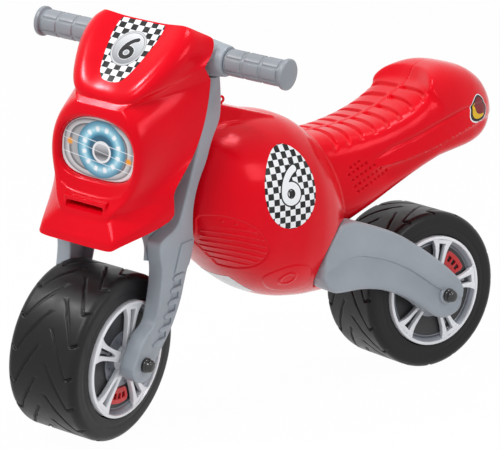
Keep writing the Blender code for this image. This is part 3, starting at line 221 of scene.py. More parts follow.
def rounded(points, times=2):
    """Corners of a closed outline cut, over and over."""
    for _ in range(times):
        fresh = []
        for (ax, ay), (bx, by) in zip(points, points[1:] + points[:1]):
            fresh.append((0.75 * ax + 0.25 * bx, 0.75 * ay + 0.25 * by))
            fresh.append((0.25 * ax + 0.75 * bx, 0.25 * ay + 0.75 * by))
        points = fresh
    return points


def swept_in(value, low, high):
    """0 below low, 1 above high, smooth between."""
    t = np.clip((value - low) / (high - low), 0, 1)
    return t * t * (3 - 2 * t)


def distance_to_line(points, line):
    """Distance of each (a, b) point to a polyline, and how far along the line the nearest place is."""
    best = np.full(len(points), 1e9)
    along = np.zeros(len(points))
    length = 0.0
    total = sum(math.dist(p, q) for p, q in zip(line, line[1:]))
    for p, q in zip(line, line[1:]):
        p = np.array(p)
        q = np.array(q)
        step = q - p
        size = float(np.linalg.norm(step))
        share = np.clip(((points - p) @ step) / size ** 2, 0, 1)
        gap = np.linalg.norm(points - p - share[:, None] * step, axis=1)
        near = gap < best
        best[near] = gap[near]
        along[near] = (length + share[near] * size) / total
        length += size
    return best, along


def signed_distance(points, outline):
    """Distance to a closed outline in its own plane, above zero inside."""
    loop = outline + outline[:1]
    gap, _ = distance_to_line(points, loop)
    inside = np.zeros(len(points), bool)
    for (ax, ay), (bx, by) in zip(loop, loop[1:]):
        crosses = (ay > points[:, 1]) != (by > points[:, 1])
        slope = (bx - ax) / (by - ay) if by != ay else 0.0
        inside ^= crosses & (points[:, 0] < slope * (points[:, 1] - ay) + ax)
    return np.where(inside, gap, -gap)


# Objects

# Vertices closer than this become one
MERGE = 0.00002


def linked(name, data):
    obj = bpy.data.objects.new(name, data)
    scene.collection.objects.link(obj)
    return obj


def evaluated_mesh(obj):
    return bpy.data.meshes.new_from_object(obj.evaluated_get(bpy.context.evaluated_depsgraph_get()))


def bmesh_object(name, bm):
    bmesh.ops.recalc_face_normals(bm, faces=bm.faces)
    mesh = bpy.data.meshes.new(name)
    bm.to_mesh(mesh)
    bm.free()
    return linked(name, mesh)


def bridge(bm, rows):
    """Faces between neighbouring rings of vertices; a ring on the axis is one vertex over and over."""
    for low, high in zip(rows, rows[1:]):
        for i in range(len(low)):
            j = (i + 1) % len(low)
            corners = list(dict.fromkeys((low[i], low[j], high[j], high[i])))
            if len(corners) > 2:
                bm.faces.new(corners)


def loft_object(name, rings):
    bm = bmesh.new()
    rows = [[bm.verts.new(point) for point in ring] for ring in rings]
    bridge(bm, rows)
    bm.faces.new(rows[0])
    bm.faces.new(rows[-1])
    return bmesh_object(name, bm)


def applied(obj, *steps):
    """The object with its modifiers, given as (kind, values), made into its mesh."""
    for kind, values in steps:
        modifier = obj.modifiers.new(kind, kind)
        for key, value in values.items():
            setattr(modifier, key, value)
    mesh = evaluated_mesh(obj)
    obj.modifiers.clear()
    obj.data = mesh
    return obj


def combined(obj, others, operation):
    for other in others:
        applied(obj, ("BOOLEAN", {"object": other, "operation": operation, "solver": "EXACT"}))
        bpy.data.objects.remove(other)
    return obj


def finished(obj, body, slot, node=None, angle=30, material=None):
    """The piece in its material, smooth up to that angle, riding on its body and, where given, for its node."""
    mesh = obj.data
    mesh.materials.clear()
    mesh.materials.append(material or SLOTS[slot])
    mesh.polygons.foreach_set("material_index", [0] * len(mesh.polygons))
    mesh.polygons.foreach_set("use_smooth", [True] * len(mesh.polygons))
    if angle:
        mesh.set_sharp_from_angle(angle=math.radians(angle))
    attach(obj, body)
    if node:
        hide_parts(node)


def drawn_mesh(outlines, half_height=0.0, rounding=0.0, steps=2):
    """Flat outlines, outer ones and holes, filled, and given a thickness with rounded edges."""
    curve = bpy.data.curves.new("outlines", "CURVE")
    curve.dimensions = "2D"
    curve.fill_mode = "BOTH"
    for outline in outlines:
        spline = curve.splines.new("POLY")
        spline.points.add(len(outline) - 1)
        for point, (u, v) in zip(spline.points, outline):
            point.co = (u, v, 0.0, 1.0)
        spline.use_cyclic_u = True
    curve.extrude = half_height - rounding
    curve.bevel_depth = rounding
    curve.bevel_resolution = steps
    curve.offset = -rounding
    drawn = linked("drawn", curve)
    mesh = evaluated_mesh(drawn)
    bpy.data.objects.remove(drawn)
    return mesh


def extruded(name, outline, low, high, rounding, place, steps=3):
    """A flat (u, v) outline standing between two heights, with rounded edges, put into a frame."""
    mesh = drawn_mesh([outline], (high - low) / 2, rounding, steps)
    mesh.transform(Matrix.Translation((0, 0, (low + high) / 2)))
    mesh.transform(place)
    bm = bmesh.new()
    bm.from_mesh(mesh)
    bmesh.ops.remove_doubles(bm, verts=bm.verts, dist=MERGE)
    bmesh.ops.dissolve_limit(bm, angle_limit=0.0005, verts=bm.verts, edges=bm.edges)
    return bmesh_object(name, bm)


def spun(name, profile, count, place):
    """(radius, height) points turned about Z into a closed solid; the profile may start and end on the axis."""
    bm = bmesh.new()
    rows = [[bm.verts.new((u, v, height)) for u, v in circle(radius, count)] if radius > 0
            else [bm.verts.new((0, 0, height))] * count for radius, height in profile]
    bridge(bm, rows + rows[:1] if profile[0][0] > 0 else rows)
    bmesh.ops.transform(bm, matrix=place, verts=bm.verts)
    return bmesh_object(name, bm)


def cylinder(radius, start, end, count, place):
    return spun("cylinder", [(0, start), (radius, start), (radius, end), (0, end)], count, place)


def sideways(place, direction=1):
    """A frame at that place with its Z pointing out to one side."""
    return Matrix.Translation(place) @ Matrix.Rotation(direction * math.pi / 2, 4, "Y")


# Wheels: tyres with cut tread, and rims built as real relief

TYRE_RADIUS = 0.106
TYRE_HALF_WIDTH = 0.0505
TYRE_SHOULDER = 0.01
TREAD_STEPS = 640
TREAD_PITCH = math.tau * TYRE_RADIUS / 16
LONG_LINE = [(0.0025 + 0.034 * t, TREAD_PITCH * 1.35 * (1 - t ** 1.35)) for t in np.linspace(0, 1, 13)]
LONG_LINE += [(0.039, -0.0005), (0.044, 0.003)]
SHORT_LINE = [(0.015 + 0.0165 * t, TREAD_PITCH * (0.88 - 0.62 * t ** 1.2)) for t in np.linspace(0, 1, 8)]
INNER_LINE = [(0.006 + 0.01 * t, TREAD_PITCH * (1.38 - 0.5 * t ** 1.2)) for t in np.linspace(0, 1, 6)]
TREAD_CUTS = ((LONG_LINE, 0.0032, 0.0026), (SHORT_LINE, 0.0027, 0.0021), (INNER_LINE, 0.0022, 0.0015))
HOOK = [(0.0385, 0.0002), (0.0405, 0.001), (0.0475, 0.0045)]
HOOK_CUT = (0.0058, 0.004)


def groove(distance, width, depth):
    """A rounded channel of that width and depth."""
    share = np.clip(1.0 - distance / (width / 2), 0, 1)
    return depth * share ** 2 * (3 - 2 * share)


def tread_depth(axial, around):
    """How deep the tread is cut at a place: axial metres from the middle, metres around."""
    place = np.mod(around + np.where(axial >= 0, 0.0, TREAD_PITCH / 2), TREAD_PITCH)
    depth = np.zeros(len(axial))
    for shift in (-1, 0, 1, 2):
        points = np.stack([np.abs(axial), place + shift * TREAD_PITCH], axis=1)
        for line, width, cut in TREAD_CUTS:
            distance, along = distance_to_line(points, line)
            depth = np.maximum(depth, groove(distance, width, cut) * np.clip(along / 0.12, 0.15, 1))
        distance, along = distance_to_line(points, HOOK)
        depth = np.maximum(depth, groove(distance, *HOOK_CUT) * np.clip((1 - along) * 4, 0, 1))
    return depth


def tyre_section():
    """(axial, radius) points across the whole section, from the left rim seat to the right one."""
    shoulder = (TYRE_HALF_WIDTH - TYRE_SHOULDER, TYRE_RADIUS - TYRE_SHOULDER)
    half = [(TYRE_HALF_WIDTH - inset, radius)
            for inset, radius in ((0.01, 0.0752), (0.0016, 0.0752), (0.0004, 0.076), (0.0, 0.0772))]
    half += [(TYRE_HALF_WIDTH - 0.0006 * (abs(radius - 0.0845) < 0.0012), radius)
             for radius in np.linspace(0.079, shoulder[1], 9)]
    half += arc(shoulder, TYRE_SHOULDER, 0, 90, 12)[1:]
    half += [(a, TYRE_RADIUS) for a in np.linspace(shoulder[0], 0, 34)[1:]]
    return half + [(-a, r) for a, r in reversed(half[:-1])]


def tyre(prefix, centre, placing):
    section = np.array(tyre_section())
    tangent = np.gradient(section, axis=0)
    normal = np.stack([tangent[:, 1], -tangent[:, 0]], axis=1)
    normal /= np.linalg.norm(normal, axis=1)[:, None]
    across, radial = np.tile(section, (TREAD_STEPS, 1)).T
    out_across, out_radial = np.tile(normal, (TREAD_STEPS, 1)).T
    theta = np.repeat(np.arange(TREAD_STEPS) * math.tau / TREAD_STEPS, len(section))
    depth = tread_depth(across, theta * TYRE_RADIUS) * (radial > TYRE_RADIUS - TYRE_SHOULDER * 0.9)
    across, radial = across - out_across * depth, radial - out_radial * depth
    local = np.stack([across, -radial * np.cos(theta), radial * np.sin(theta)], axis=1) + np.array(centre)
    turn = np.array(placing)
    rows = len(section)
    faces = [(i * rows + k, i * rows + k + 1, j * rows + k + 1, j * rows + k)
             for i, j in zip(range(TREAD_STEPS), (*range(1, TREAD_STEPS), 0)) for k in range(rows - 1)]
    mesh = bpy.data.meshes.new(prefix + "_tyre_tread")
    mesh.from_pydata((local @ turn[:3, :3].T + turn[:3, 3]).tolist(), [], faces)
    mesh.update()
    finished(linked(prefix + "_tyre_tread", mesh), prefix + "_wheel", "tyre_rubber", prefix + "_tyre", 0)


RIM_RADIUS = 0.0742
RIM_FACE = 0.0552
RIM_BASE = 0.0453
HUB_RADIUS = 0.0158
LIP = over(RIM_FACE, (0.0695, -0.0026), (0.0699, -0.0008), (0.0706, -0.0001), (0.0718, 0), (0.0732, -0.0003),
           (0.074, -0.0012), (RIM_RADIUS, -0.003)) + over(RIM_BASE, (RIM_RADIUS, -0.004))
BARREL = over(RIM_BASE, (0.058, 0), (0.0622, 0.0006), (0.0624, 0.0022), (0.0632, 0.0026), (0.064, 0.0022),
              (0.0644, 0.003), (0.066, 0.005)) + over(RIM_FACE, (0.068, -0.0034), (0.0697, -0.0024))
DISH = over(RIM_BASE, (0.0054, -0.001), (0.015, -0.0008), (0.06, 0.0004), (0.0624, 0.001))
HUB = over(RIM_BASE, (HUB_RADIUS + 0.0022, -0.0006), (HUB_RADIUS + 0.002, 0.006), (HUB_RADIUS, 0.0072))
HUB += over(RIM_FACE, (HUB_RADIUS - 0.0004, -0.0008), (HUB_RADIUS - 0.0016, 0), (0.0058, 0)) + [(0.0054, RIM_BASE)]
TURNED = (("_rim_lip", LIP, 96, "silver_plastic", None), ("_rim_barrel", BARREL, 96, "silver_plastic", DISC_GREY),
          ("_rim_dish", DISH, 72, "black_plastic", GRAPHITE), ("_rim_hub", HUB, 48, "silver_plastic", None))
SPOKE = mirrored([(0.015, 0.0062), (0.022, 0.0066), (0.032, 0.0072), (0.043, 0.0082), (0.053, 0.0098), (0.06, 0.0122),
                  (0.065, 0.0152), (0.0694, 0.0186)])
SPOKE_SLOT = mirrored([(0.0275, 0.0), (0.029, 0.0012), (0.034, 0.0024), (0.043, 0.0034), (0.053, 0.0042),
                       (0.06, 0.0048), (0.064, 0.0056)], skip=1)
SLOT_RIB = mirrored([(0.036, 0.0011), (0.046, 0.0016), (0.0555, 0.0022)])
SPOKE_TURNS = [72 * pair for pair in range(5)]
DISC = [circle(0.0365, 72), circle(0.018, 48)]
DISC += [circle(0.0011, 10, polar(0.0325 if i % 2 else 0.0285, 18 * i)) for i in range(20)]
CALIPER = [(0.0575, a) for a in np.linspace(-17, 17, 12)] + [(0.053, 20), (0.042, 19), (0.038, 15)]
CALIPER += [(0.037, a) for a in np.linspace(10, -10, 7)] + [(0.038, -15), (0.042, -19), (0.053, -20)]
WINDOW = [(0.0515, a) for a in (-3.6, -1.8, 0, 1.8, 3.6)] + [(0.044, 3.0), (0.044, -3.0)]


def rim(prefix, side, body, centre, placing, phase, caliper_turn):
    """One wheel face: silver lip and twin spokes over a dark dish, with a drilled disc and a red caliper."""

    def place(u, v, height):
        u, v = (u * math.cos(phase) - v * math.sin(phase), u * math.sin(phase) + v * math.cos(phase))
        return placing @ (Vector(centre) + Vector((side * height, -u, v)))

    def piece(name, bm, slot, material):
        node = prefix + "_rim" if name == "_rim_lip" else None
        finished(bmesh_object(prefix + name, bm), body, slot, node, material=material)

    for name, profile, count, slot, material in TURNED:
        bm = bmesh.new()
        bridge(bm, [[bm.verts.new(place(u, v, height)) for u, v in circle(radius, count)]
                    for radius, height in profile])
        piece(name, bm, slot, material)
    middle = 36 + caliper_turn
    spokes = [rotated(shape, turn) for turn in SPOKE_TURNS for shape in (SPOKE, SPOKE_SLOT)]
    ribs = [rotated(SLOT_RIB, turn) for turn in SPOKE_TURNS]
    caliper = [[polar(radius, middle + a) for radius, a in CALIPER]]
    caliper += [[polar(radius, middle + turn + a) for radius, a in WINDOW] for turn in (-10.5, 0, 10.5)]
    for name, outlines, low, high, rounding, slot, material in (
            ("_rim_spokes", spokes, RIM_BASE + 0.002, RIM_FACE - 0.0012, 0.0008, "silver_plastic", None),
            ("_rim_slot_ribs", ribs, RIM_BASE, RIM_BASE + 0.003, 0.0004, "silver_plastic", DISC_GREY),
            ("_brake_disc", DISC, RIM_BASE - 0.0002, RIM_BASE + 0.0016, 0.0002, "silver_plastic", DISC_GREY),
            ("_caliper", caliper, RIM_BASE, RIM_BASE + 0.0036, 0.0007, "red_plastic", CALIPER_RED)):
        mesh = drawn_mesh(outlines, (high - low) / 2, rounding)
        for vertex in mesh.vertices:
            vertex.co = place(vertex.co.x, vertex.co.y, vertex.co.z + (low + high) / 2)
        bm = bmesh.new()
        bm.from_mesh(mesh)
        bmesh.ops.remove_doubles(bm, verts=bm.verts, dist=MERGE)
        piece(name, bm, slot, material)


# Each wheel's centre and frame, how far its rims are turned, and where the caliper sits
WHEELS = (("front", FRONT_AXLE, STEERED, math.radians(25), 216),
          ("rear", REAR_AXLE, Matrix.Identity(4), math.radians(102), 0))
for prefix, centre, placing, *_ in WHEELS:
    tyre(prefix, centre, placing)
for side_name, side in SIDES:
    for prefix, *wheel in WHEELS:
        rim(f"{prefix}_{side_name}", side, prefix + "_wheel", *wheel)

# Sizes of the smooth pieces

# Stations of the tank and the seat: y, top, bottom, half width, height of the widest place, the powers of
# the upper and the lower curve, and how far it tucks in below
TANK = (
    (-0.399, 0.302, 0.248, 0.022, 0.275, 2.0, 2.0, 0.0),
    (-0.396, 0.321, 0.243, 0.04, 0.277, 2.1, 2.1, 0.0),
    (-0.386, 0.344, 0.236, 0.061, 0.279, 2.2, 2.2, 0.0),
    (-0.368, 0.363, 0.22, 0.08, 0.279, 2.2, 2.2, 0.0),
    (-0.345, 0.374, 0.197, 0.093, 0.276, 2.2, 2.2, 0.0),
    (-0.318, 0.38, 0.17, 0.101, 0.27, 2.2, 2.2, 0.0),
    (-0.285, 0.381, 0.147, 0.105, 0.262, 2.2, 2.2, 0.0),
    (-0.25, 0.377, 0.134, 0.105, 0.254, 2.2, 2.2, 0.0),
    (-0.22, 0.367, 0.129, 0.101, 0.247, 2.2, 2.2, 0.0),
    (-0.195, 0.35, 0.127, 0.092, 0.24, 2.2, 2.2, 0.0),
    (-0.175, 0.328, 0.127, 0.08, 0.234, 2.2, 2.3, 0.0),
    (-0.158, 0.3, 0.13, 0.064, 0.226, 2.2, 2.4, 0.0),
    (-0.148, 0.27, 0.138, 0.045, 0.215, 2.2, 2.4, 0.0),
    (-0.144, 0.245, 0.15, 0.028, 0.205, 2.0, 2.2, 0.0),
)
SEAT = (
    (-0.3, 0.32, 0.22, 0.046, 0.27, 3.0, 2.6, 0.0),
    (-0.23, 0.333, 0.19, 0.057, 0.275, 3.2, 2.8, 0.0),
    (-0.185, 0.338, 0.19, 0.06, 0.28, 3.4, 3.0, 0.0),
    (-0.14, 0.3405, 0.212, 0.064, 0.285, 3.6, 3.0, 0.0),
    (-0.1, 0.346, 0.231, 0.068, 0.293, 3.8, 3.0, 0.03),
    (-0.06, 0.357, 0.2525, 0.071, 0.299, 4.0, 3.0, 0.06),
    (-0.025, 0.3745, 0.27, 0.072, 0.306, 4.0, 3.0, 0.07),
    (-0.003, 0.386, 0.279, 0.072, 0.311, 4.0, 3.0, 0.07),
    (0.008, 0.403, 0.283, 0.0715, 0.3135, 3.6, 3.0, 0.07),
    (0.03, 0.4085, 0.287, 0.07, 0.319, 3.2, 3.0, 0.07),
    (0.06, 0.403, 0.291, 0.065, 0.326, 3.0, 3.0, 0.07),
    (0.085, 0.391, 0.296, 0.056, 0.331, 2.8, 2.8, 0.07),
    (0.103, 0.374, 0.304, 0.043, 0.334, 2.5, 2.5, 0.06),
    (0.113, 0.356, 0.314, 0.028, 0.334, 2.2, 2.2, 0.03),
    (0.117, 0.344, 0.324, 0.014, 0.334, 2.0, 2.0, 0.0),
)
# Place along the swing arm, then (y, z) of its upper and its lower edge
ARM = (
    (0, -0.214, 0.18, -0.214, 0.164),
    (1, -0.2075, 0.197, -0.2045, 0.15),
    (2, -0.1945, 0.215, -0.189, 0.1415),
    (3, -0.1765, 0.229, -0.1715, 0.1395),
    (4, -0.157, 0.23, -0.1485, 0.138),
    (5, -0.132, 0.222, -0.119, 0.133),
    (6, -0.1045, 0.212, -0.085, 0.1215),
    (7, -0.076, 0.1985, -0.058, 0.1075),
    (8, -0.048, 0.181, -0.036, 0.0915),
    (9, -0.0175, 0.1595, -0.0175, 0.0785),
    (10, 0.0095, 0.1375, -0.001, 0.0735),
    (11, 0.026, 0.1205, 0.0165, 0.0775),
    (12, 0.0325, 0.106, 0.029, 0.09),
)
# The fork leg's two edges as (z, y)
LEG_REAR = (
    (0.46, -0.386), (0.43, -0.3785), (0.404, -0.376), (0.39, -0.378), (0.369, -0.393), (0.344, -0.401),
    (0.325, -0.414), (0.306, -0.4215), (0.286, -0.425), (0.252, -0.421), (0.249, -0.4165), (0.218, -0.4245),
    (0.215, -0.4295), (0.195, -0.435), (0.1745, -0.44), (0.15, -0.453), (0.135, -0.464), (0.1215, -0.477),
)
LEG_FRONT = (
    (0.122, -0.53), (0.136, -0.523), (0.148, -0.512), (0.156, -0.495), (0.172, -0.4895), (0.2, -0.485),
    (0.225, -0.484), (0.24, -0.49), (0.258, -0.493), (0.264, -0.488), (0.271, -0.458), (0.29, -0.449),
    (0.33, -0.435), (0.404, -0.4115), (0.43, -0.4055), (0.46, -0.402),
)
# Rows down the fairing: front z and y, panel and corner x, corner radius, the rear edge's x, y and z, how far
# the lobe swells and the side is hollowed, and how sharp the row is
FAIRING = (
    (0.512, -0.433, 0.033, 0.061, 0.015, 0.079, -0.412, 0.503, 0.006, 0.0, 0.3),
    (0.502, -0.444, 0.033, 0.072, 0.02, 0.085, -0.41, 0.5, 0.0095, 0.0, 0.0),
    (0.476, -0.473, 0.027, 0.076, 0.023, 0.0875, -0.414, 0.486, 0.0095, 0.0, 0.0),
    (0.436, -0.517, 0.014, 0.052, 0.026, 0.088, -0.428, 0.474, 0.003, 0.0, 0.0),
    (0.4285, -0.5165, 0.014, 0.044, 0.018, 0.087, -0.431, 0.469, 0.0, 0.0, 0.6),
    (0.4205, -0.524, 0.014, 0.035, 0.007, 0.0895, -0.42, 0.453, 0.0, 0.0, 0.8),
    (0.409, -0.5285, 0.02, 0.052, 0.01, 0.09, -0.421, 0.437, 0.0, 0.001, 0.0),
    (0.382, -0.5285, 0.027, 0.066, 0.009, 0.0905, -0.4265, 0.405, 0.0, 0.002, 0.0),
    (0.35, -0.5285, 0.028, 0.0675, 0.009, 0.09, -0.442, 0.369, 0.0, 0.004, 0.0),
    (0.32, -0.528, 0.026, 0.057, 0.01, 0.0895, -0.468, 0.343, 0.0, 0.004, 0.0),
    (0.303, -0.543, 0.022, 0.044, 0.011, 0.089, -0.481, 0.331, 0.0, 0.003, 0.0),
    (0.289, -0.545, 0.018, 0.036, 0.01, 0.0885, -0.484, 0.322, 0.0, 0.002, 0.7),
    (0.268, -0.557, 0.026, 0.053, 0.006, 0.089, -0.482, 0.304, 0.0, 0.0, 0.4),
    (0.259, -0.558, 0.028, 0.0555, 0.005, 0.089, -0.479, 0.29, 0.0, 0.0, 0.9),
)
# The hood's outward direction, as (y, z)
HOOD_NORMAL = (-0.66, 0.75)
LAMP = {"half": 0.0535, "top": 0.4065, "wide": 0.3675, "bottom": 0.331, "face": -0.519, "plate": 0.005}
LEG_INNER = 0.058
LEG_OUTER = 0.08
LEG_SKIN = 0.007
NOTCHES = 5
NOTCH_LOW = 0.14
NOTCH_PITCH = 0.0152
NOTCH_FROM = 0.0105
NOTCH_TO = 0.027
NOTCH_HALF = 0.0044
NOTCH_DEPTH = 0.0018
RUNG_FROM = 0.007
RUNG_TO = 0.031
RUNG_PROUD = 0.0024
PAD = (0.214, 0.25)
CROWN_TOP = -0.026
CROWN_LOW = -0.046
HEAD_HIGH = 0.12
HEAD_LOW = CROWN_TOP + 0.0036
YOKE_LOW = HEAD_HIGH + 0.0036
YOKE_HIGH = YOKE_LOW + 0.012
BAR_Y = -0.3941
BAR_Z = 0.472

# The arm's crease, flare and corners, and its outer face as (share of the height, depth)
ARM_CREST = 0.003
ARM_FLARE = 0.014
ARM_DROP = 0.0065
ARM_EDGE = 0.006
ARM_FACE = ((0.14, -0.0008), (0.3, -0.0014), (0.44, -0.0016), (0.49, -0.0014), (0.51, 0.0018), (0.535, 0.0028),
            (0.6, 0.003), (0.74, 0.002), (0.87, 0.0))


def refine(stations, per_gap):
    """Smooth curves through the stations that never overshoot them, sampled evenly in each gap."""
    table = np.array(stations, float)
    keys = table[:, 0]
    gaps = np.diff(keys)
    rises = np.diff(table, axis=0) / gaps[:, None]
    slopes = np.zeros_like(table)
    slopes[0], slopes[-1] = rises[0], rises[-1]
    product = rises[:-1] * rises[1:]
    total = rises[:-1] + rises[1:]
    slopes[1:-1] = np.where(product > 0, 2 * product / np.where(np.abs(total) < 1e-12, 1.0, total), 0.0)
    rows = []
    for i, width in enumerate(gaps):
        for t in np.arange(per_gap) / per_gap:
            rows.append(table[i] * (1 + 2 * t) * (1 - t) ** 2 + slopes[i] * width * t * (1 - t) ** 2
                        + table[i + 1] * t * t * (3 - 2 * t) + slopes[i + 1] * width * t * t * (t - 1))
    rows.append(table[-1])
    return rows


def signed_power(value, power):
    return np.sign(value) * np.abs(value) ** power


def body_ring(station, count):
    y, z_top, z_bottom, half_width, z_wide, top_power, bottom_power, tuck = station
    angle = math.tau * np.arange(count) / count
    across = np.cos(angle)
    upward = np.sin(angle)
    power = np.where(upward >= 0, top_power, bottom_power)
    height = np.where(upward >= 0, z_top - z_wide, z_wide - z_bottom)
    width = np.where(upward > -0.01, half_width, half_width * (1 - tuck))
    return np.stack([width * signed_power(across, 2 / power), np.full(count, y),
                     z_wide + height * signed_power(upward, 2 / power)], axis=1)


def arm_section(row, inner, outer, crest, grow):
    """One ring of the arm, round its edges, with a soft crease along its middle."""
    key, top_y, top_z, low_y, low_z = row
    ends = min(key, ARM[-1][0] - key)
    rise = crest * min(1.0, ends / 2)
    drop = ARM_DROP * max(0.0, 1 - ends / 0.7) ** 2
    top = np.array([0, top_y, top_z])
    low = np.array([0, low_y, low_z])
    along = (top - low) / np.linalg.norm(top - low)
    low = low - along * grow
    height = np.linalg.norm(top - low) + grow
    edge = min(ARM_EDGE, height * 0.3)
    bend = [(outer - edge - drop + edge * math.sin(a), edge * (1 - math.cos(a)))
            for a in np.radians(np.linspace(0, 90, 6))]
    points = [(inner, 0.0)] + bend
    points += [(outer - drop + depth * rise / ARM_CREST if crest else outer, height * share)
               for share, depth in ARM_FACE]
    points += [(x, height - up) for x, up in reversed(bend)] + [(inner, height)]
    return [np.array([x, 0, 0]) + low + along * up for x, up in points]


# Body: fused, remeshed and then given its moulded details

HEAD_BORE = 0.0108
POCKET_INNER = 0.0565
POCKET_OUTER = 0.112
POCKET_GAP = 0.0013
VOXEL = 0.0017


def smooth_body():
    shell = loft_object("body_skin", [body_ring(station, 96) for station in refine(TANK, 6)])
    seat_rings = []
    for station in refine(SEAT, 8):
        section = body_ring(station, 112)
        lift = swept_in(section[:, 2], 0.352, 0.384) * np.exp(-((section[:, 1] - 0.006) / 0.026) ** 2)
        section[:, 1] -= 0.017 * lift * np.minimum(np.abs(section[:, 0]) / 0.06, 1.0) ** 2
        seat_rings.append(section)
    seat = loft_object("seat_form", seat_rings)
    nose = arc((0, 0), 0.029, 180, 360, 32)
    nose += [(0.0425, 0.095), (0.0385, 0.15), (-0.0385, 0.15), (-0.0425, 0.095)]
    combined(shell, [seat, extruded("block_form", nose, HEAD_LOW, HEAD_HIGH, 0.002, HEAD_FRAME)], "UNION")
    pocket = [arm_section(row, POCKET_INNER, POCKET_OUTER, 0.0, POCKET_GAP) for row in refine(ARM, 3)]
    cutters = [cylinder(HEAD_BORE, HEAD_HIGH + 0.02, HEAD_LOW - 0.02, 32, HEAD_FRAME)]
    cutters += [loft_object("arm_pocket", sided(pocket, side)) for _, side in SIDES]
    combined(shell, cutters, "DIFFERENCE")
    return applied(shell, ("REMESH", {"mode": "VOXEL", "voxel_size": VOXEL, "adaptivity": 0.0}),
                   ("SMOOTH", {"factor": 0.5, "iterations": 5}))


def points_of(mesh):
    co = np.empty(len(mesh.vertices) * 3)
    mesh.vertices.foreach_get("co", co)
    normal = np.empty(len(mesh.vertices) * 3)
    mesh.vertex_normals.foreach_get("vector", normal)
    return co.reshape(-1, 3), normal.reshape(-1, 3)


def densify(obj, inside):
    """Split the faces whose middles the test picks."""
    bm = bmesh.new()
    bm.from_mesh(obj.data)
    edges = set()
    for face in bm.faces:
        if inside(face.calc_center_median()):
            edges.update(face.edges)
    bmesh.ops.subdivide_edges(bm, edges=list(edges), cuts=1, use_grid_fill=True)
    bm.to_mesh(obj.data)
    bm.free()


SEAT_GROOVES = [-0.018 - 0.0203 * i for i in range(8)]
GROOVE_DEPTH = 0.0042
SEAM_DEPTH = 0.0005
SPINE_HEIGHT = 0.0006
# The flange along the seat's side: how its lip and its crease rise along the seat
LIP_LINE = ((-0.115, -0.103, -0.053, -0.019, 0.033, 0.067, 0.085), (0.2905, 0.293, 0.299, 0.307, 0.322, 0.331, 0.334))
CREASE_LINE = ((-0.115, -0.08, -0.053, -0.005, 0.035, 0.067), (0.3, 0.316, 0.322, 0.338, 0.349, 0.352))
FLANGE_LEAN = 0.003
FLANGE_CREASE = 0.0018
FLANGE_TUCK = 0.003
VENT = rounded([(-0.387, 0.268), (-0.374, 0.271), (-0.352, 0.268), (-0.322, 0.253), (-0.302, 0.23), (-0.296, 0.211),
                (-0.307, 0.193), (-0.328, 0.189), (-0.351, 0.198), (-0.369, 0.217), (-0.38, 0.243)], 2)
VENT_DEPTH = 0.0013
RIB_PITCH = 0.0078
RIB_HEIGHT = 0.0011
STUDS = ((-0.36, 0.2615), (-0.345, 0.2575), (-0.331, 0.251), (-0.319, 0.2425), (-0.31, 0.233))
STUD_HEIGHT = 0.0012
TEARDROP = rounded([(-0.296, 0.177), (-0.284, 0.186), (-0.262, 0.192), (-0.24, 0.189), (-0.229, 0.182),
                    (-0.222, 0.166), (-0.222, 0.153), (-0.25, 0.15), (-0.276, 0.156)], 2)
TEARDROP_HEIGHT = 0.001
TEARDROP_RING = (-0.26, 0.172, 0.0095)
RING_HEIGHT = 0.0009
# Each row of dimples behind the tank starts at a place (y, z) and climbs in equal steps
DIMPLE_ROWS = ((-0.1471, 0.296, 3), (-0.1492, 0.2865, 5), (-0.1438, 0.2791, 6), (-0.1398, 0.2703, 7),
               (-0.1351, 0.263, 8))
DIMPLE_STEP = (0.0065, 0.0031)
DIMPLE_DEPTH = 0.003


def spot(y, z, centre, near, far):
    """1 round a place on the side, falling to 0."""
    return 1 - swept_in(np.hypot(y - centre[0], z - centre[1]), near, far)


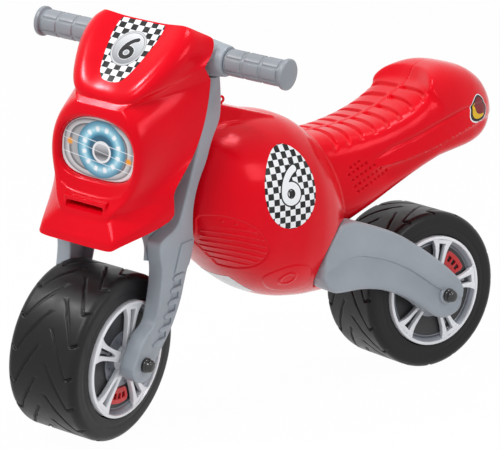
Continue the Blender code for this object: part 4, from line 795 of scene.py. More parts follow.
def moulded_details(obj):
    co, normal = points_of(obj.data)
    x, y, z = co.T
    across = np.abs(x)
    raise_by = np.zeros(len(co))
    top = swept_in(normal[:, 2], 0.25, 0.6)
    for groove_y in SEAT_GROOVES:
        gap = np.abs(y - (groove_y - 0.004 * (across / 0.06) ** 2))
        ends = swept_in(across, 0.0035, 0.005) * (1 - swept_in(across, 0.048, 0.062))
        raise_by -= GROOVE_DEPTH * top * ends * (1 - swept_in(gap, 0.0014, 0.0044))
    seat_zone = (y > -0.175) & (y < 0.07) & (normal[:, 2] > 0.1) & (z > 0.33)
    raise_by -= SEAM_DEPTH * seat_zone * (1 - swept_in(across, 0.0003, 0.0012))
    grooved = (y > -0.172) & (y < -0.008) & seat_zone
    raise_by += SPINE_HEIGHT * grooved * (1 - swept_in(across, 0.0022, 0.0036))
    # A leaning panel that ends in a lip, tucked in below it
    lip, crease = np.interp(y, *LIP_LINE), np.interp(y, *CREASE_LINE)
    side = swept_in(np.abs(normal[:, 0]), 0.2, 0.5) * swept_in(y, -0.118, -0.08) * (1 - swept_in(y, 0.07, 0.098))
    lean = np.clip((crease - z) / np.maximum(crease - lip, 0.004), 0, 1)
    raise_by += side * (z > lip - 0.001) * (FLANGE_LEAN * lean - FLANGE_CREASE * np.exp(-((z - crease) / 0.0024) ** 2))
    raise_by -= side * FLANGE_TUCK * (1 - swept_in(z, lip - 0.006, lip - 0.0015)) * swept_in(z, lip - 0.03, lip - 0.01)
    # The vent and the teardrop low on the tank's sides
    flat = np.stack([y, z], axis=1)
    near = (across > 0.035) & (y < -0.2) & (z < 0.3)
    vent, drop = np.full(len(co), -1.0), np.full(len(co), -1.0)
    vent[near] = signed_distance(flat[near], VENT)
    drop[near] = signed_distance(flat[near], TEARDROP)
    raise_by -= VENT_DEPTH * swept_in(vent, 0.0, 0.002)
    ribs = np.mod(z + 0.16 * (y + 0.36) + 2.2 * (y + 0.36) ** 2, RIB_PITCH) / RIB_PITCH
    ribs = 1 - swept_in(np.abs(ribs - 0.5) * RIB_PITCH, 0.0006, 0.0016)
    raise_by += RIB_HEIGHT * ribs * swept_in(vent, 0.003, 0.006) * (1 - swept_in(z, 0.248, 0.256))
    for stud in STUDS:
        raise_by += STUD_HEIGHT * near * spot(y, z, stud, 0.0008, 0.0022)
    raise_by += TEARDROP_HEIGHT * swept_in(drop, -0.001, 0.001)
    ring_y, ring_z, radius = TEARDROP_RING
    ring = np.abs(np.hypot(y - ring_y, (z - ring_z) * 1.25) - radius)
    raise_by += RING_HEIGHT * near * (1 - swept_in(ring, 0.001, 0.003))
    zone = (across > 0.045) & (y > -0.165) & (y < -0.07) & (z > 0.25) & (z < 0.31)
    for start_y, start_z, count in DIMPLE_ROWS:
        for k in range(count):
            place = (start_y + DIMPLE_STEP[0] * k, start_z + DIMPLE_STEP[1] * k)
            raise_by -= DIMPLE_DEPTH * zone * spot(y, z, place, 0.0009, 0.0024)
    co += normal * raise_by[:, None]
    obj.data.vertices.foreach_set("co", co.ravel())
    obj.data.update()


# Where the body's mesh is made finer: least and most distance from the middle, then y and z from and to
FINE_ZONES = ((-1, 0.068, -0.178, 0.012, 0.325, 1), (0.035, 1, -0.392, -0.288, 0.185, 0.275),
              (0.035, 1, -0.3, -0.216, 0.145, 0.196), (0.045, 1, -0.16, -0.08, 0.26, 0.305))


def in_fine_zone(p):
    return any(least < abs(p.x) < most and y_from < p.y < y_to and z_from < p.z < z_to
               for least, most, y_from, y_to, z_from, z_to in FINE_ZONES)


body_skin = smooth_body()
densify(body_skin, in_fine_zone)
moulded_details(body_skin)
finished(body_skin, "body", "red_plastic", "body_shell", 60)

# The cord eyelet: a small ring on a stem, let into the head block
EYELET_RING, EYELET_WIRE = 0.0036, 0.0016
low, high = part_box("cord_eyelet")
eyelet_at = Vector((0, (low[1] + high[1]) / 2 - 0.002, high[2] - 0.0092))
eyelet = spun("eyelet_skin", circle(EYELET_WIRE, 16, (EYELET_RING, 0)), 40, sideways(eyelet_at))
combined(eyelet, [cylinder(EYELET_WIRE, -EYELET_RING, -0.01, 24, Matrix.Translation(eyelet_at))], "UNION")
finished(eyelet, "body", "red_plastic", "cord_eyelet", 40)

# Swing arms
AXLE_BORE = 0.0053
TIE_ROD_BORE = 0.0043
TIE_ROD_AT = (0, -0.18, 0.18)
ARM_BOSS = [(0, 0.082), (0.0105, 0.082), (0.0117, 0.0816), (0.0124, 0.0806), (0.0125, 0.079), (0.0125, 0.069),
            (0, 0.069)]
arm_rings = [arm_section(row, LEG_INNER, 0.079 + ARM_FLARE * (1 - swept_in(row[0], 0.5, 6.5)), ARM_CREST, 0.0)
             for row in refine(ARM, 5)]
for side_name, side in SIDES:
    arm = loft_object(side_name + "_arm_skin", sided(arm_rings, side))
    axle = sideways(REAR_AXLE, side)
    combined(arm, [spun("boss", ARM_BOSS, 48, axle)], "UNION")
    combined(arm, [cylinder(AXLE_BORE, 0.12, 0.05, 32, axle),
                   cylinder(TIE_ROD_BORE, 0.0703, 0.05, 24, sideways(TIE_ROD_AT, side))], "DIFFERENCE")
    finished(arm, "body", "grey_plastic", side_name + "_swing_arm", 32)


# Fork legs, with the fork straight as (y, z), crown and top yoke in the steering frame

def edge_at(table, z):
    rows = sorted(table)
    return float(np.interp(z, [row[0] for row in rows], [row[1] for row in rows]))


def leg_band(middle, half, start, stop, slanted=False):
    """A piece of the leg's side round a height, from start to stop in from the rear edge."""
    lower, upper = (edge_at(LEG_REAR, middle + (step if slanted else 0)) for step in (-half, half))
    return [(upper - start, middle + half), (lower - start, middle - half), (lower - stop, middle - half),
            (upper - stop, middle + half)]


leg_loop = [(y, z) for z, y in LEG_REAR] + arc((FRONT_AXLE.y, FRONT_AXLE.z), 0.0235, 0, -180, 24)
leg_loop = rounded(leg_loop + [(y, z) for z, y in LEG_FRONT], 2)
leg_channels = []
for bottom, top in ((0.15, 0.244), (0.285, 0.405)):
    heights = np.linspace(bottom, top, 12)
    leg_channels.append([(edge_at(LEG_REAR, h) - 0.004, h) for h in heights[::-1]]
                        + [(edge_at(LEG_FRONT, h) + 0.004, h) for h in heights])
bar_at = (0, BAR_Y, BAR_Z)
COLLAR_BORE = 0.0235
SCREW_BORE = 0.0021
for side_name, side in SIDES:
    def slab(name, outline, inner, outer, rounding, steps=3):
        low, high = sorted((side * inner, side * outer))
        return extruded(name, outline, low, high, rounding, STEERED @ SIDE_FRAME, steps)

    leg = slab(side_name + "_leg_skin", leg_loop, LEG_INNER, LEG_OUTER, 0.0028, 4)
    cutters = [slab("channel", channel, LEG_INNER - 0.01, LEG_OUTER - LEG_SKIN, 0.001) for channel in leg_channels]
    screw_frame = STEERED @ Matrix.Translation((side * 0.069, 0, 0.43)) @ UPRIGHT
    cutters += [cylinder(COLLAR_BORE, 0.2, -0.2, 64, STEERED @ sideways(bar_at)),
                cylinder(AXLE_BORE, 0.12, -0.12, 32, STEERED @ sideways(FRONT_AXLE)),
                cylinder(SCREW_BORE, 0.45, 0.36, 16, screw_frame)]
    raised = []
    for rung in range(NOTCHES + 1):
        band = leg_band(NOTCH_LOW + NOTCH_PITCH * (rung - 0.5), NOTCH_PITCH / 2 - NOTCH_HALF + 0.0006, RUNG_FROM,
                        RUNG_TO, True)
        raised.append(slab("rung", rounded(band, 2), LEG_OUTER - 0.003, LEG_OUTER + RUNG_PROUD, 0.0013))
    pad = leg_band(sum(PAD) / 2, (PAD[1] - PAD[0]) / 2, RUNG_FROM, RUNG_TO, True)
    raised.append(slab("pad", pad, LEG_OUTER - 0.003, LEG_OUTER + RUNG_PROUD, 0.0013))
    for notch in range(NOTCHES):
        band = leg_band(NOTCH_LOW + NOTCH_PITCH * notch, NOTCH_HALF, NOTCH_FROM, NOTCH_TO)
        cutters.append(slab("notch", band, LEG_OUTER - NOTCH_DEPTH, LEG_OUTER + 0.01, 0.0003, 1))
    combined(leg, raised, "UNION")
    combined(leg, cutters, "DIFFERENCE")
    finished(leg, "fork", "grey_plastic", f"fork_{side_name}_leg", 32)

PIN_BORE = 0.0073
BOSS_RADIUS = 0.02
ARCH_FOOT = -0.082
reach = LEG_INNER - 0.0003
arch = [(reach, CROWN_TOP), (reach, ARCH_FOOT)]
arch += [(reach - 0.028 * (1 - u), ARCH_FOOT + (CROWN_LOW - ARCH_FOOT) * v) for u, v in arc((0, 0), 1, 6, 90, 14)]
crown = extruded("crown_skin", mirrored(arch, -1, 1), 0.014, 0.052, 0.0025, STEER_FRAME @ UPRIGHT)
combined(crown, [cylinder(BOSS_RADIUS, CROWN_TOP, CROWN_LOW, 64, STEER_FRAME)], "UNION")
combined(crown, [cylinder(PIN_BORE, 0.05, -0.08, 32, STEER_FRAME)], "DIFFERENCE")
finished(crown, "fork", "grey_plastic", "fork_crown", 32)
yoke_loop = [(reach, -0.015), (reach, 0.009), (0.022, 0.012)] + arc((0, 0), BOSS_RADIUS, 45, 135, 18)
yoke_loop += [(-0.022, 0.012), (-reach, 0.009), (-reach, -0.015), (-0.022, -0.015)]
yoke_loop += arc((0, 0), BOSS_RADIUS, 225, 315, 18) + [(0.022, -0.015)]
yoke = extruded("yoke_skin", yoke_loop, YOKE_LOW, YOKE_HIGH, 0.0022, STEER_FRAME)
combined(yoke, [cylinder(PIN_BORE, 0.2, 0.05, 32, STEER_FRAME)], "DIFFERENCE")
finished(yoke, "fork", "grey_plastic", "fork_top_yoke", 32)

# Handlebar with its collars, and the padded grips
BAR_HALF = 0.1833
bar_side = [(0.0, BAR_HALF - 0.006), (0.0105, BAR_HALF - 0.006), (0.0105, 0.0975), (0.0172, 0.0975), (0.0184, 0.097),
            (0.019, 0.0958), (0.0196, 0.092), (0.0212, 0.08), (0.0228, 0.069), (0.0232, 0.065), (0.0232, 0.053),
            (0.0226, 0.0512), (0.018, 0.0472), (0.0166, 0.0462), (0.016, 0.044)]
finished(spun("bar_skin", mirrored(bar_side), 72, STEERED @ sideways(bar_at)), "fork", "grey_plastic", "handlebar")

GRIP_COUNT = 144
GRIP_START = 0.0978
GRIP_RADIUS = 0.0152
GRIP_BORE = 0.0108
PAD_HEIGHT = 0.0012
PAD_EDGE = 0.0012
PAD_GAP = 0.003
FLANGE = BAR_HALF - 0.007


def grip_surface():
    """Rings of the grip: pads in rows round it, a flange and a domed end, as (height, radius, share of a pad)."""
    angle = np.arange(GRIP_COUNT) / GRIP_COUNT * 6
    pad = 1 - swept_in(np.abs(np.mod(angle, 1.0) - 0.5), 0.4, 0.45)
    pitch = (FLANGE - GRIP_START - PAD_GAP) / 3
    rings = [(GRIP_START, 0.011, 0), (GRIP_START, 0.0144, 0), (GRIP_START + 0.0006, 0.0151, 0)]
    for row in range(3):
        low = GRIP_START + PAD_GAP + row * pitch
        high = low + pitch - PAD_GAP
        rings += [(low + PAD_EDGE * share, GRIP_RADIUS, swept_in(share, 0, 1)) for share in (0.0, 0.25, 0.6, 1.0)]
        rings += [(high - PAD_EDGE * (1 - share), GRIP_RADIUS, 1 - swept_in(share, 0, 1))
                  for share in (0.0, 0.4, 0.75, 1.0)]
    rings += [(FLANGE + rise, radius, 0) for rise, radius in (
        (-0.0004, 0.0152), (0.0002, 0.016), (0.0006, 0.0178), (0.0012, 0.0188), (0.0022, 0.0191))]
    rings += [(BAR_HALF - drop, radius, 0) for drop, radius in (
        (0.0022, 0.0191), (0.001, 0.0187), (0.0003, 0.0178), (0, 0.0166), (0, 0.006))]
    turns = math.tau * np.arange(GRIP_COUNT) / GRIP_COUNT
    return [np.stack([(radius + PAD_HEIGHT * share * pad) * np.cos(turns),
                      (radius + PAD_HEIGHT * share * pad) * np.sin(turns), np.full(GRIP_COUNT, height)], axis=1)
            for height, radius, share in rings]


for side_name, side in SIDES:
    grip = loft_object(side_name + "_grip_skin", grip_surface())
    grip_frame = STEERED @ sideways(bar_at, side)
    grip.data.transform(grip_frame)
    combined(grip, [cylinder(GRIP_BORE, BAR_HALF - 0.0057, 0.09, 48, grip_frame)], "DIFFERENCE")
    finished(grip, "fork", "grip_vinyl", side_name + "_grip", 40)

# Axle caps in two steps
CAP_TIP = 0.0122
for prefix, body, axle, placing, face in (("front", "fork", FRONT_AXLE, STEERED, 0.0803),
                                          ("rear", "body", REAR_AXLE, Matrix.Identity(4), 0.0823)):
    cap_side = over(face + CAP_TIP, (0, 0), (0.003, -0.0001), (0.0056, -0.0008), (0.0072, -0.0022), (0.0079, -0.0042))
    cap_side += over(face, (0.0081, 0.0052), (0.0086, 0.0046), (0.0091, 0.004), (0.0094, 0.003), (0.0094, 0.0004),
                     (0.0092, 0), (AXLE_BORE, 0))
    cap_side += over(face + CAP_TIP, (AXLE_BORE, -0.0037), (0, -0.0037))
    for side_name, side in SIDES:
        cap = spun(f"{prefix}_{side_name}_cap_skin", cap_side, 48, placing @ sideways(axle, side))
        finished(cap, body, "black_plastic", f"{prefix}_{side_name}_axle_cap", 35)


# Fairing

def fairing_row(row):
    """Half a row: the middle panel, a lobe beside it, the corner, and the hollow side back to the edge."""
    front_z, front_y, panel_x, corner_x, radius, rear_x, rear_y, rear_z, lobe, hollow, crease = row
    corner = Vector((corner_x, front_y))
    rear = Vector((rear_x, rear_y))
    side = (rear - corner).normalized()
    inward = Vector((-abs(side.y), side.x))
    tangent = radius * math.tan(math.acos(max(-1.0, min(1.0, side.x))) / 2) * 0.75
    end = corner + side * tangent
    middle = end + (rear - end) * 0.5 + inward * hollow
    points = []
    for point, back, swell in ((Vector((0, front_y)), 0.0, 0.0), (Vector((panel_x, front_y)), 0.0, 0.0),
                               (corner - Vector((tangent, 0)), 0.0, lobe), (end, 0.25, lobe * 0.6),
                               (middle, 0.6, 0.0), (rear, 1.0, 0.0)):
        height = front_z + (rear_z - front_z) * back ** 1.3 + swell * HOOD_NORMAL[1]
        points.append((point.x, point.y + swell * HOOD_NORMAL[0], height))
    return points


def lamp_outline(grow, count=96):
    angle = math.tau * np.arange(count) / count
    power = np.where(np.sin(angle) >= 0, 2.2, 3.2)
    height = np.where(np.sin(angle) >= 0, LAMP["top"] - LAMP["wide"], LAMP["wide"] - LAMP["bottom"]) + grow
    u = (LAMP["half"] + grow) * signed_power(np.cos(angle), 2 / power)
    v = LAMP["wide"] + height * signed_power(np.sin(angle), 2 / power)
    return list(zip(u.tolist(), v.tolist()))


def lamp_solid(name, grow, front_y, rear_y, rounding):
    return extruded(name, lamp_outline(grow), -rear_y, -front_y, rounding, STEERED @ UPRIGHT)


bm = bmesh.new()
crease_layer = bm.edges.layers.float.new("crease_edge")
grid = [[bm.verts.new(point) for point in fairing_row(row)] for row in FAIRING]
for upper, lower in zip(grid, grid[1:]):
    for i in range(len(upper) - 1):
        bm.faces.new((upper[i], lower[i], lower[i + 1], upper[i + 1]))
for verts, row in zip(grid, FAIRING):
    for a, b in zip(verts, verts[1:]):
        bm.edges.get((a, b))[crease_layer] = row[-1]
sheet = bpy.data.meshes.new("fairing_skin")
bm.to_mesh(sheet)
bm.free()
fairing = linked("fairing_skin", sheet)
applied(fairing, ("MIRROR", {"use_axis": (True, False, False), "merge_threshold": 0.0001}),
        ("SUBSURF", {"levels": 3, "render_levels": 3}), ("SOLIDIFY", {"thickness": 0.003, "offset": -1.0}))
fairing.data.transform(STEERED)

# The lamp's bowl and flared edge, and the air slot with the pocket behind it
LAMP_REAR = LAMP["face"] + LAMP["plate"]
DISH_STATIONS = ((0.03, 0.026), (0.0118, 0.015), (0.0104, 0.0118), (0.0094, 0.0092), (0.0086, 0.0064), (0.0078, 0.004),
                 (0.0066, 0.0022), (0.005, 0.0012), (0.003, 0.0008), (-0.001, 0.0004))
AIR_SLOT_Z = 0.303
AIR_SLOT = rounded([(-0.0265, -0.0022), (-0.023, -0.0026), (0.023, -0.0026), (0.0265, -0.0022), (0.0265, 0.0024),
                    (0.023, 0.0028), (-0.023, 0.0028), (-0.0265, 0.0024)], 2)
AIR_STATIONS = ((-0.555, 1.1, 2.6, -0.004), (-0.543, 1.03, 1.7, -0.002), (-0.539, 1.0, 1.25, -0.0004),
                (-0.534, 0.98, 1.2, 0.0), (-0.5025, 0.98, 1.2, 0.0))
AIR_POCKET = [(-0.0305, 0.2935), (0.0305, 0.2935), (0.0305, 0.3125), (-0.0305, 0.3125)]
plug = lamp_solid("bowl", 0.0055, LAMP["face"] - 0.008, LAMP_REAR + 0.004, 0.0005)
mouth = lamp_solid("mouth", 0.0006, -0.56, LAMP_REAR + 0.0003, 0.0001)
dish = loft_object("dish", [[Vector((u, LAMP["face"] - ahead, v)) for u, v in lamp_outline(grow)]
                            for ahead, grow in DISH_STATIONS])
air_slot = loft_object("air_slot", [[Vector((u * wide, y, AIR_SLOT_Z + v * tall + lift)) for u, v in AIR_SLOT]
                                    for y, wide, tall, lift in AIR_STATIONS])
for cutter in (dish, air_slot):
    cutter.data.transform(STEERED)
pocket = extruded("pocket", AIR_POCKET, 0.5, 0.5425, 0.001, STEERED @ UPRIGHT)
combined(fairing, [plug, pocket], "UNION")
combined(fairing, [mouth, dish, air_slot], "DIFFERENCE")
finished(fairing, "fork", "red_plastic", "front_fairing", 35)

lamp_plate = lamp_solid("lamp_plate_skin", 0.0, LAMP["face"], LAMP_REAR, 0.0008)
finished(lamp_plate, "fork", "lamp_plate", "headlight_plate", 35)


# Prints: thin sheets laid on the surface, each in its own flat (across, up) metres, which are also its print map

PRINT_STEP = 0.004
PRINT_REACH = 0.12
PRINT_FILM = 0.00008
LAYER = 0.00016
INK_BLACK = (0.008, 0.008, 0.009)
INK_WHITE = (0.92, 0.93, 0.94)


def plane_frame(origin, across, upward):
    across, upward = Vector(across).normalized(), Vector(upward).normalized()
    out = across.cross(upward)
    return Matrix.Translation(origin) @ Matrix((across, upward, out)).transposed().to_4x4()


def surface_of(obj):
    mesh = obj.data
    return BVHTree.FromPolygons([v.co.copy() for v in mesh.vertices], [tuple(p.vertices) for p in mesh.polygons])


def printed(name, outlines, place, surface, level, material, body, slot="silver_plastic"):
    """Flat outlines cut into small squares and dropped along the print's own axis onto the surface."""
    bm = bmesh.new()
    bm.from_mesh(drawn_mesh(outlines))
    bmesh.ops.remove_doubles(bm, verts=bm.verts, dist=MERGE / 2)
    for axis in (0, 1):
        values = [v.co[axis] for v in bm.verts]
        for k in range(math.ceil(min(values) / PRINT_STEP), math.floor(max(values) / PRINT_STEP) + 1):
            at, normal = [0, 0, 0], [0, 0, 0]
            at[axis], normal[axis] = k * PRINT_STEP, 1
            bmesh.ops.bisect_plane(bm, geom=bm.verts[:] + bm.edges[:] + bm.faces[:], dist=1e-6, plane_co=at,
                                   plane_no=normal)
    layer = bm.loops.layers.uv.new("print")
    for face in bm.faces:
        for loop in face.loops:
            loop[layer].uv = loop.vert.co.xy
    out = (place.to_3x3() @ Vector((0, 0, 1))).normalized()
    missed = []
    for vertex in bm.verts:
        hit, normal, _, _ = surface.ray_cast(place @ vertex.co + out * PRINT_REACH, -out)
        if hit is None:
            missed.append(vertex)
        else:
            vertex.co = hit + out * (LAYER * level / max(0.35, abs(normal.dot(out))))
    bmesh.ops.delete(bm, geom=missed, context="VERTS")
    bm.normal_update()
    if sum(face.normal.dot(out) for face in bm.faces) < 0:
        bmesh.ops.reverse_faces(bm, faces=bm.faces)
    mesh = bpy.data.meshes.new(name)
    bm.to_mesh(mesh)
    bm.free()
    sheet = applied(linked(name, mesh), ("SOLIDIFY", {"thickness": PRINT_FILM, "offset": 1.0}))
    finished(sheet, body, slot, angle=40, material=material)


# The numeral's shape, as shares of its height
BOWL = 0.215
BOWL_RISE = -0.2
TAIL_ARC = 0.663
TAIL_END = 112


def numeral(height, wide, centre):
    """A plain 6 of that height: a round bowl and a tail that leaves it at the left, as wide as twice the stroke."""
    bowl, tail = BOWL * height, TAIL_ARC * height
    bowl_at = (centre[0], centre[1] + BOWL_RISE * height)
    tail_at = (bowl_at[0] + tail - bowl, bowl_at[1])
    gap = tail - bowl
    meet = (gap ** 2 + (bowl + wide) ** 2 - (tail - wide) ** 2) / (2 * gap)
    rise = math.sqrt((bowl + wide) ** 2 - meet ** 2)
    on_bowl = math.degrees(math.atan2(rise, meet))
    on_tail = math.degrees(math.atan2(rise, meet - gap))
    tip = polar(tail, TAIL_END, tail_at)
    outline = arc(tail_at, tail + wide, TAIL_END, 180, 14) + arc(bowl_at, bowl + wide, 180, 360 + on_bowl, 44)[1:]
    outline += arc(tail_at, tail - wide, on_tail, TAIL_END, 8)[1:]
    outline += arc(tip, wide, TAIL_END + 180, TAIL_END + 360, 12)[1:-1]
    return [outline, arc(bowl_at, bowl - wide, 0, 352, 44)]


class PrintNodes(Nodes):
    """Glossy printed film, coloured from the print's own map."""

    def __init__(self, name, roughness=0.25):
        super().__init__(name)
        self.place = self.add("UVMap", uv_map="print").outputs["UV"]
        split = self.add("SeparateXYZ", ((0, self.place),))
        self.u, self.v = split.outputs["X"], split.outputs["Y"]
        self.set(Roughness=roughness, Specular_IOR_Level=0.2)

    def coloured(self, colour):
        """Finish with the colour, a little uneven as ink is."""
        uneven = self.map(self.noise(90.0), 0.3, 0.7, 0.0, 0.05)
        self.set(Base_Color=self.mix(uneven, colour, (0.5, 0.5, 0.5)))
        return self.material

    def radius(self, centre, size=(1.0, 1.0), power=2.0):
        parts = []
        for value, middle, half in zip((self.u, self.v), centre, size):
            away = self.math("ABSOLUTE", self.math("DIVIDE", self.math("SUBTRACT", value, middle), half))
            parts.append(self.math("POWER", away, power))
        return self.math("POWER", self.math("ADD", *parts), 1 / power)

    def checker(self, size, shift):
        spread = self.add("VectorMath", ((0, self.place), (1, Vector((1 / size, 1 / size, 0))),
                                         (2, Vector((*shift, 0.5)))), operation="MULTIPLY_ADD")
        return self.add("TexChecker", (("Vector", spread.outputs[0]), ("Color1", INK_BLACK), ("Color2", INK_WHITE),
                                       ("Scale", 1.0))).outputs["Color"]


def checkered(name, size, shift):
    n = PrintNodes(name)
    return n.coloured(n.checker(size, shift))


def ink(name, colour):
    return PrintNodes(name).coloured(colour)


white_ink, black_ink = ink("white_ink", INK_WHITE), ink("black_ink", INK_BLACK)

# Cowl: a checkered shield with a silver oval and a number
COWL_FRAME = STEERED @ plane_frame((0, -0.4336, 0.5117), (1, 0, 0), (0, 0.7505, 0.6609))
SHIELD = rounded(mirrored([(0.03, -0.0015), (0.032, -0.004), (0.033, -0.023), (0.0285, -0.05), (0.0235, -0.072),
                           (0.018, -0.086), (0.01, -0.094)], -1, 1), 2)
OVAL = (0.0, -0.0434)
OVAL_HALF = (0.0225, 0.0265)
OVAL_LOOP = [(OVAL[0] + OVAL_HALF[0] * u, OVAL[1] + OVAL_HALF[1] * v) for u, v in arc((0, 0), 1, 0, 355, 71)]
n = PrintNodes("silver_oval", 0.2)
ring = n.radius(OVAL, OVAL_HALF)
fade = n.ramp(n.map(n.v, OVAL[1] - 0.024, OVAL[1] + 0.024), ((0.0, (0.25, 0.26, 0.28)), (1.0, (0.78, 0.79, 0.8))))
border = n.ramp(ring, ((0.86, (0.12, 0.12, 0.13)), (0.92, (0.7, 0.71, 0.72)), (1.0, (0.3, 0.3, 0.32))))
outside = n.ramp(ring, ((0.0, (0, 0, 0)), (0.84, (0, 0, 0)), (0.88, (1, 1, 1))))
silver_oval = n.coloured(n.mix(outside, fade, border))
fairing_surface = surface_of(fairing)
for level, (name, outlines, material) in enumerate((
        ("cowl_checker_print", [SHIELD], checkered("cowl_checker", 0.0085, (0.5, 0.0))),
        ("cowl_oval_print", [OVAL_LOOP], silver_oval),
        ("cowl_numeral_edge", numeral(0.033, 0.0036, OVAL), white_ink),
        ("cowl_numeral_print", numeral(0.033, 0.0029, OVAL), black_ink)), 1):
    printed(name, outlines, COWL_FRAME, fairing_surface, level, material, "fork")

# Tank: a checkered egg with a number on each side
EGG = [(0.039 * u * (1 - 0.07 * v), 0.0515 * v) for u, v in arc((0, 0), 1, 0, 355, 71)]
NUMBER_AT = (-0.001, 0.002)
tank_checker = checkered("tank_checker", 0.0078, (0.5, 0.5))
body_surface = surface_of(body_skin)
for side_name, side in SIDES:
    tank_frame = plane_frame((0, -0.269, 0.294), (0, side, 0), (0, 0, 1))
    for level, (name, outlines, material) in enumerate((
            ("_tank_checker_print", [EGG], tank_checker),
            ("_tank_numeral_edge", numeral(0.048, 0.006, NUMBER_AT), black_ink),
            ("_tank_numeral_print", numeral(0.048, 0.0042, NUMBER_AT), white_ink)), 1):
        printed(side_name + name, outlines, tank_frame, body_surface, level, material, "body")

# Tail lamps round the seat's rear corners
TEAR = [(0.0, 0.0175), (0.0175, 0.0), (0.015, -0.0105), (0.002, -0.018), (-0.015, -0.0185), (-0.021, -0.011),
        (-0.0145, 0.004)]
CRESCENT = [(-0.0085, 0.008), (-0.0165, -0.0055), (-0.0155, -0.013), (-0.008, -0.016), (0.003, -0.014),
            (0.009, -0.0095), (-0.0005, -0.0105), (-0.007, -0.009), (-0.0098, -0.0045)]
lamp_red, lamp_yellow = ink("tail_lamp_red", (0.22, 0.006, 0.012)), ink("tail_lamp_yellow", (0.8, 0.48, 0.01))
for side_name, side in SIDES:
    tail_frame = plane_frame((side * 0.06, 0.067, 0.35), (-0.33, side * 0.94, 0), (0, 0, 1))
    for level, (name, outline, share, material) in enumerate((
            ("_tail_lamp_border", TEAR, 1.14, white_ink), ("_tail_lamp_edge", TEAR, 1.05, black_ink),
            ("_tail_lamp_lens", TEAR, 0.86, lamp_red), ("_tail_lamp_crescent", CRESCENT, 1.04, lamp_yellow)), 1):
        loop = rounded([(side * u * share, v * share) for u, v in outline], 3)
        printed(side_name + name, [loop], tail_frame, body_surface, level, material, "body")

# The bare pale label under the tank
LABEL = rounded([(-0.034, -0.022), (-0.03, -0.025), (0.03, -0.025), (0.034, -0.022), (0.034, 0.022), (0.03, 0.025),
                 (-0.03, 0.025), (-0.034, 0.022)], 1)
printed("belly_label", [LABEL], plane_frame((0, -0.3, 0.16), (1, 0, 0), (0, -0.83, 0.55)), body_surface, 1, white_ink,
        "body")

# Headlight: a printed lamp with a blue ring of lights, two amber spots and three streaks
RING_AT = (0.0045, 0.3684)
HUB_AT = (0.0051, 0.3653)
n = PrintNodes("headlight_print", 0.12)
edge = n.radius((0, 0.368), (LAMP["half"], 0.038), 2.6)
plate = n.ramp(edge, ((0.0, (0.3, 0.31, 0.32)), (0.7, (0.42, 0.43, 0.44)), (0.78, (0.12, 0.12, 0.13)),
                      (0.81, (0.66, 0.67, 0.68)), (0.88, (0.5, 0.51, 0.52)), (0.93, (0.2, 0.2, 0.21)),
                      (0.96, (0.78, 0.79, 0.8))))
away = n.radius(RING_AT)
blue = n.ramp(n.map(away, 0.0, 0.036), ((0.0, (0.02, 0.07, 0.12)), (0.46, (0.03, 0.13, 0.22)),
                                      (0.56, (0.12, 0.4, 0.55)), (0.7, (0.5, 0.8, 0.9)), (0.82, (0.22, 0.5, 0.64)),
                                      (0.97, (0.06, 0.22, 0.34))))
turn = n.math("ARCTAN2", n.math("SUBTRACT", n.v, RING_AT[1]), n.math("SUBTRACT", n.u, RING_AT[0]))
beads = n.math("ABSOLUTE", n.math("SINE", n.math("MULTIPLY", turn, 6.0)))
band = n.map(n.math("ABSOLUTE", n.math("SUBTRACT", away, 0.0252)), 0.0046, 0.0012, smooth=True)
blue = n.mix(n.math("MULTIPLY", n.map(beads, 0.72, 0.96, smooth=True), band), blue, (0.93, 0.98, 1.0))
art = n.mix(n.map(away, 0.0355, 0.0345), plate, blue)
hub_away = n.radius(HUB_AT)
hub = n.ramp(n.map(n.v, 0.352, 0.379), ((0.0, (0.6, 0.61, 0.63)), (0.35, (0.1, 0.1, 0.11)),
                                        (0.6, (0.34, 0.35, 0.37)), (1.0, (0.8, 0.81, 0.83))))
hub = n.mix(n.map(hub_away, 0.0102, 0.0112), hub, (0.82, 0.84, 0.86))
art = n.mix(n.map(hub_away, 0.0138, 0.0132), art, hub)
for spot_at in ((-0.0416, 0.3702), (0.0447, 0.361)):
    art = n.mix(n.map(n.radius(spot_at), 0.0056, 0.0022, smooth=True), art, (0.9, 0.36, 0.03))
for height, slope, wide in ((0.376, -0.12, 0.001), (0.3655, -0.16, 0.0007), (0.352, -0.1, 0.0008)):
    line = n.math("SUBTRACT", n.v, n.math("ADD", n.math("MULTIPLY", n.u, slope), height))
    art = n.mix(n.map(n.math("ABSOLUTE", line), wide, 0.0, 0.0, 0.75, smooth=True), art, (0.96, 0.98, 1.0))
lamp_frame = STEERED @ plane_frame((0, LAMP["face"], 0), (1, 0, 0), (0, 0, 1))
printed("headlight_art", [lamp_outline(-0.0012)], lamp_frame, surface_of(lamp_plate), 1, n.coloured(art), "fork",
        "lamp_plate")


# Stage: floor, world, lights and camera

FLOOR_HALF = 12
FLOOR_DROP = 0.0005
FLOOR_WHITE = 0.98

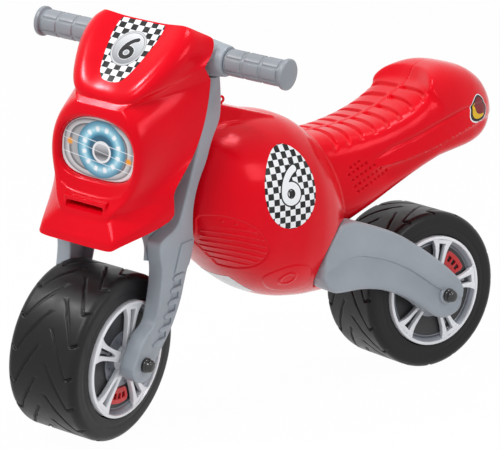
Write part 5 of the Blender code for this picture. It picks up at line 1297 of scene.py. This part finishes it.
floor_mesh = bpy.data.meshes.new("floor")
corners = ((-1, -1), (1, -1), (1, 1), (-1, 1))
floor_mesh.from_pydata([(u * FLOOR_HALF, v * FLOOR_HALF, -FLOOR_DROP) for u, v in corners], [], [(0, 1, 2, 3)])
floor = linked("floor", floor_mesh)
n = Nodes("floor_paper")
n.set(Roughness=0.9, Base_Color=(0.9, 0.9, 0.9))
unlit = n.add("Emission", (("Strength", 1.0),))
blend = n.add("MixShader", ((0, n.math("MULTIPLY", n.seen(), FLOOR_WHITE)), (1, n.shader.outputs[0]),
                            (2, unlit.outputs[0])))
n.feed(n.tree.nodes["Material Output"].inputs["Surface"], blend.outputs[0])
floor.data.materials.append(n.material)

world = bpy.data.worlds.new("studio")
scene.world = world
world.use_nodes = True
world.node_tree.nodes.clear()
sky = Tree(world.node_tree)
lit = sky.add("Background", (("Color", (0.93, 0.96, 1.0)), ("Strength", 0.4)))
white = sky.add("Background", (("Color", (1.0, 1.0, 1.0)), ("Strength", 1.0)))
pick = sky.add("MixShader", ((0, sky.seen()), (1, lit.outputs[0]), (2, white.outputs[0])))
sky.add("OutputWorld", ((0, pick.outputs[0]),))


def area_light(name, place, aim, size, power):
    data = bpy.data.lights.new(name, "AREA")
    data.shape = "RECTANGLE"
    data.size, data.size_y = size
    data.energy = power
    light = linked(name, data)
    light.location = place
    light.rotation_euler = (Vector(aim) - Vector(place)).to_track_quat("-Z", "Y").to_euler()


area_light("key", (0.6, -2.2, 2.4), (0.0, -0.3, 0.2), (0.8, 0.6), 25.0)
area_light("side", (2.6, 0.6, 1.6), (0.0, -0.2, 0.2), (0.8, 1.0), 15.0)
area_light("top", (0.5, 0.23, 2.8), (0.0, -0.2, 0.2), (0.8, 0.6), 19.0)
area_light("streak", (-0.5, -1.7, 2.4), (0.0, -0.4, 0.3), (0.26, 0.16), 19.0)

azimuth, elevation, roll = math.radians(55.2), math.radians(13.52), math.radians(-1.04)
back = Vector((math.sin(azimuth) * math.cos(elevation), -math.cos(azimuth) * math.cos(elevation), math.sin(elevation)))
right = Vector((math.cos(azimuth), math.sin(azimuth), 0))
up = back.cross(right)
right, up = (right * math.cos(roll) + up * math.sin(roll), up * math.cos(roll) - right * math.sin(roll))
camera_data = bpy.data.cameras.new("camera")
camera_data.sensor_width = 36.0
camera_data.lens = 170.2
camera = linked("camera", camera_data)
camera.matrix_world = (Matrix.Translation((2.41439, -1.93926, 0.93379))
                       @ Matrix((right, up, back)).transposed().to_4x4())
scene.camera = camera
scene.view_settings.view_transform = "Standard"
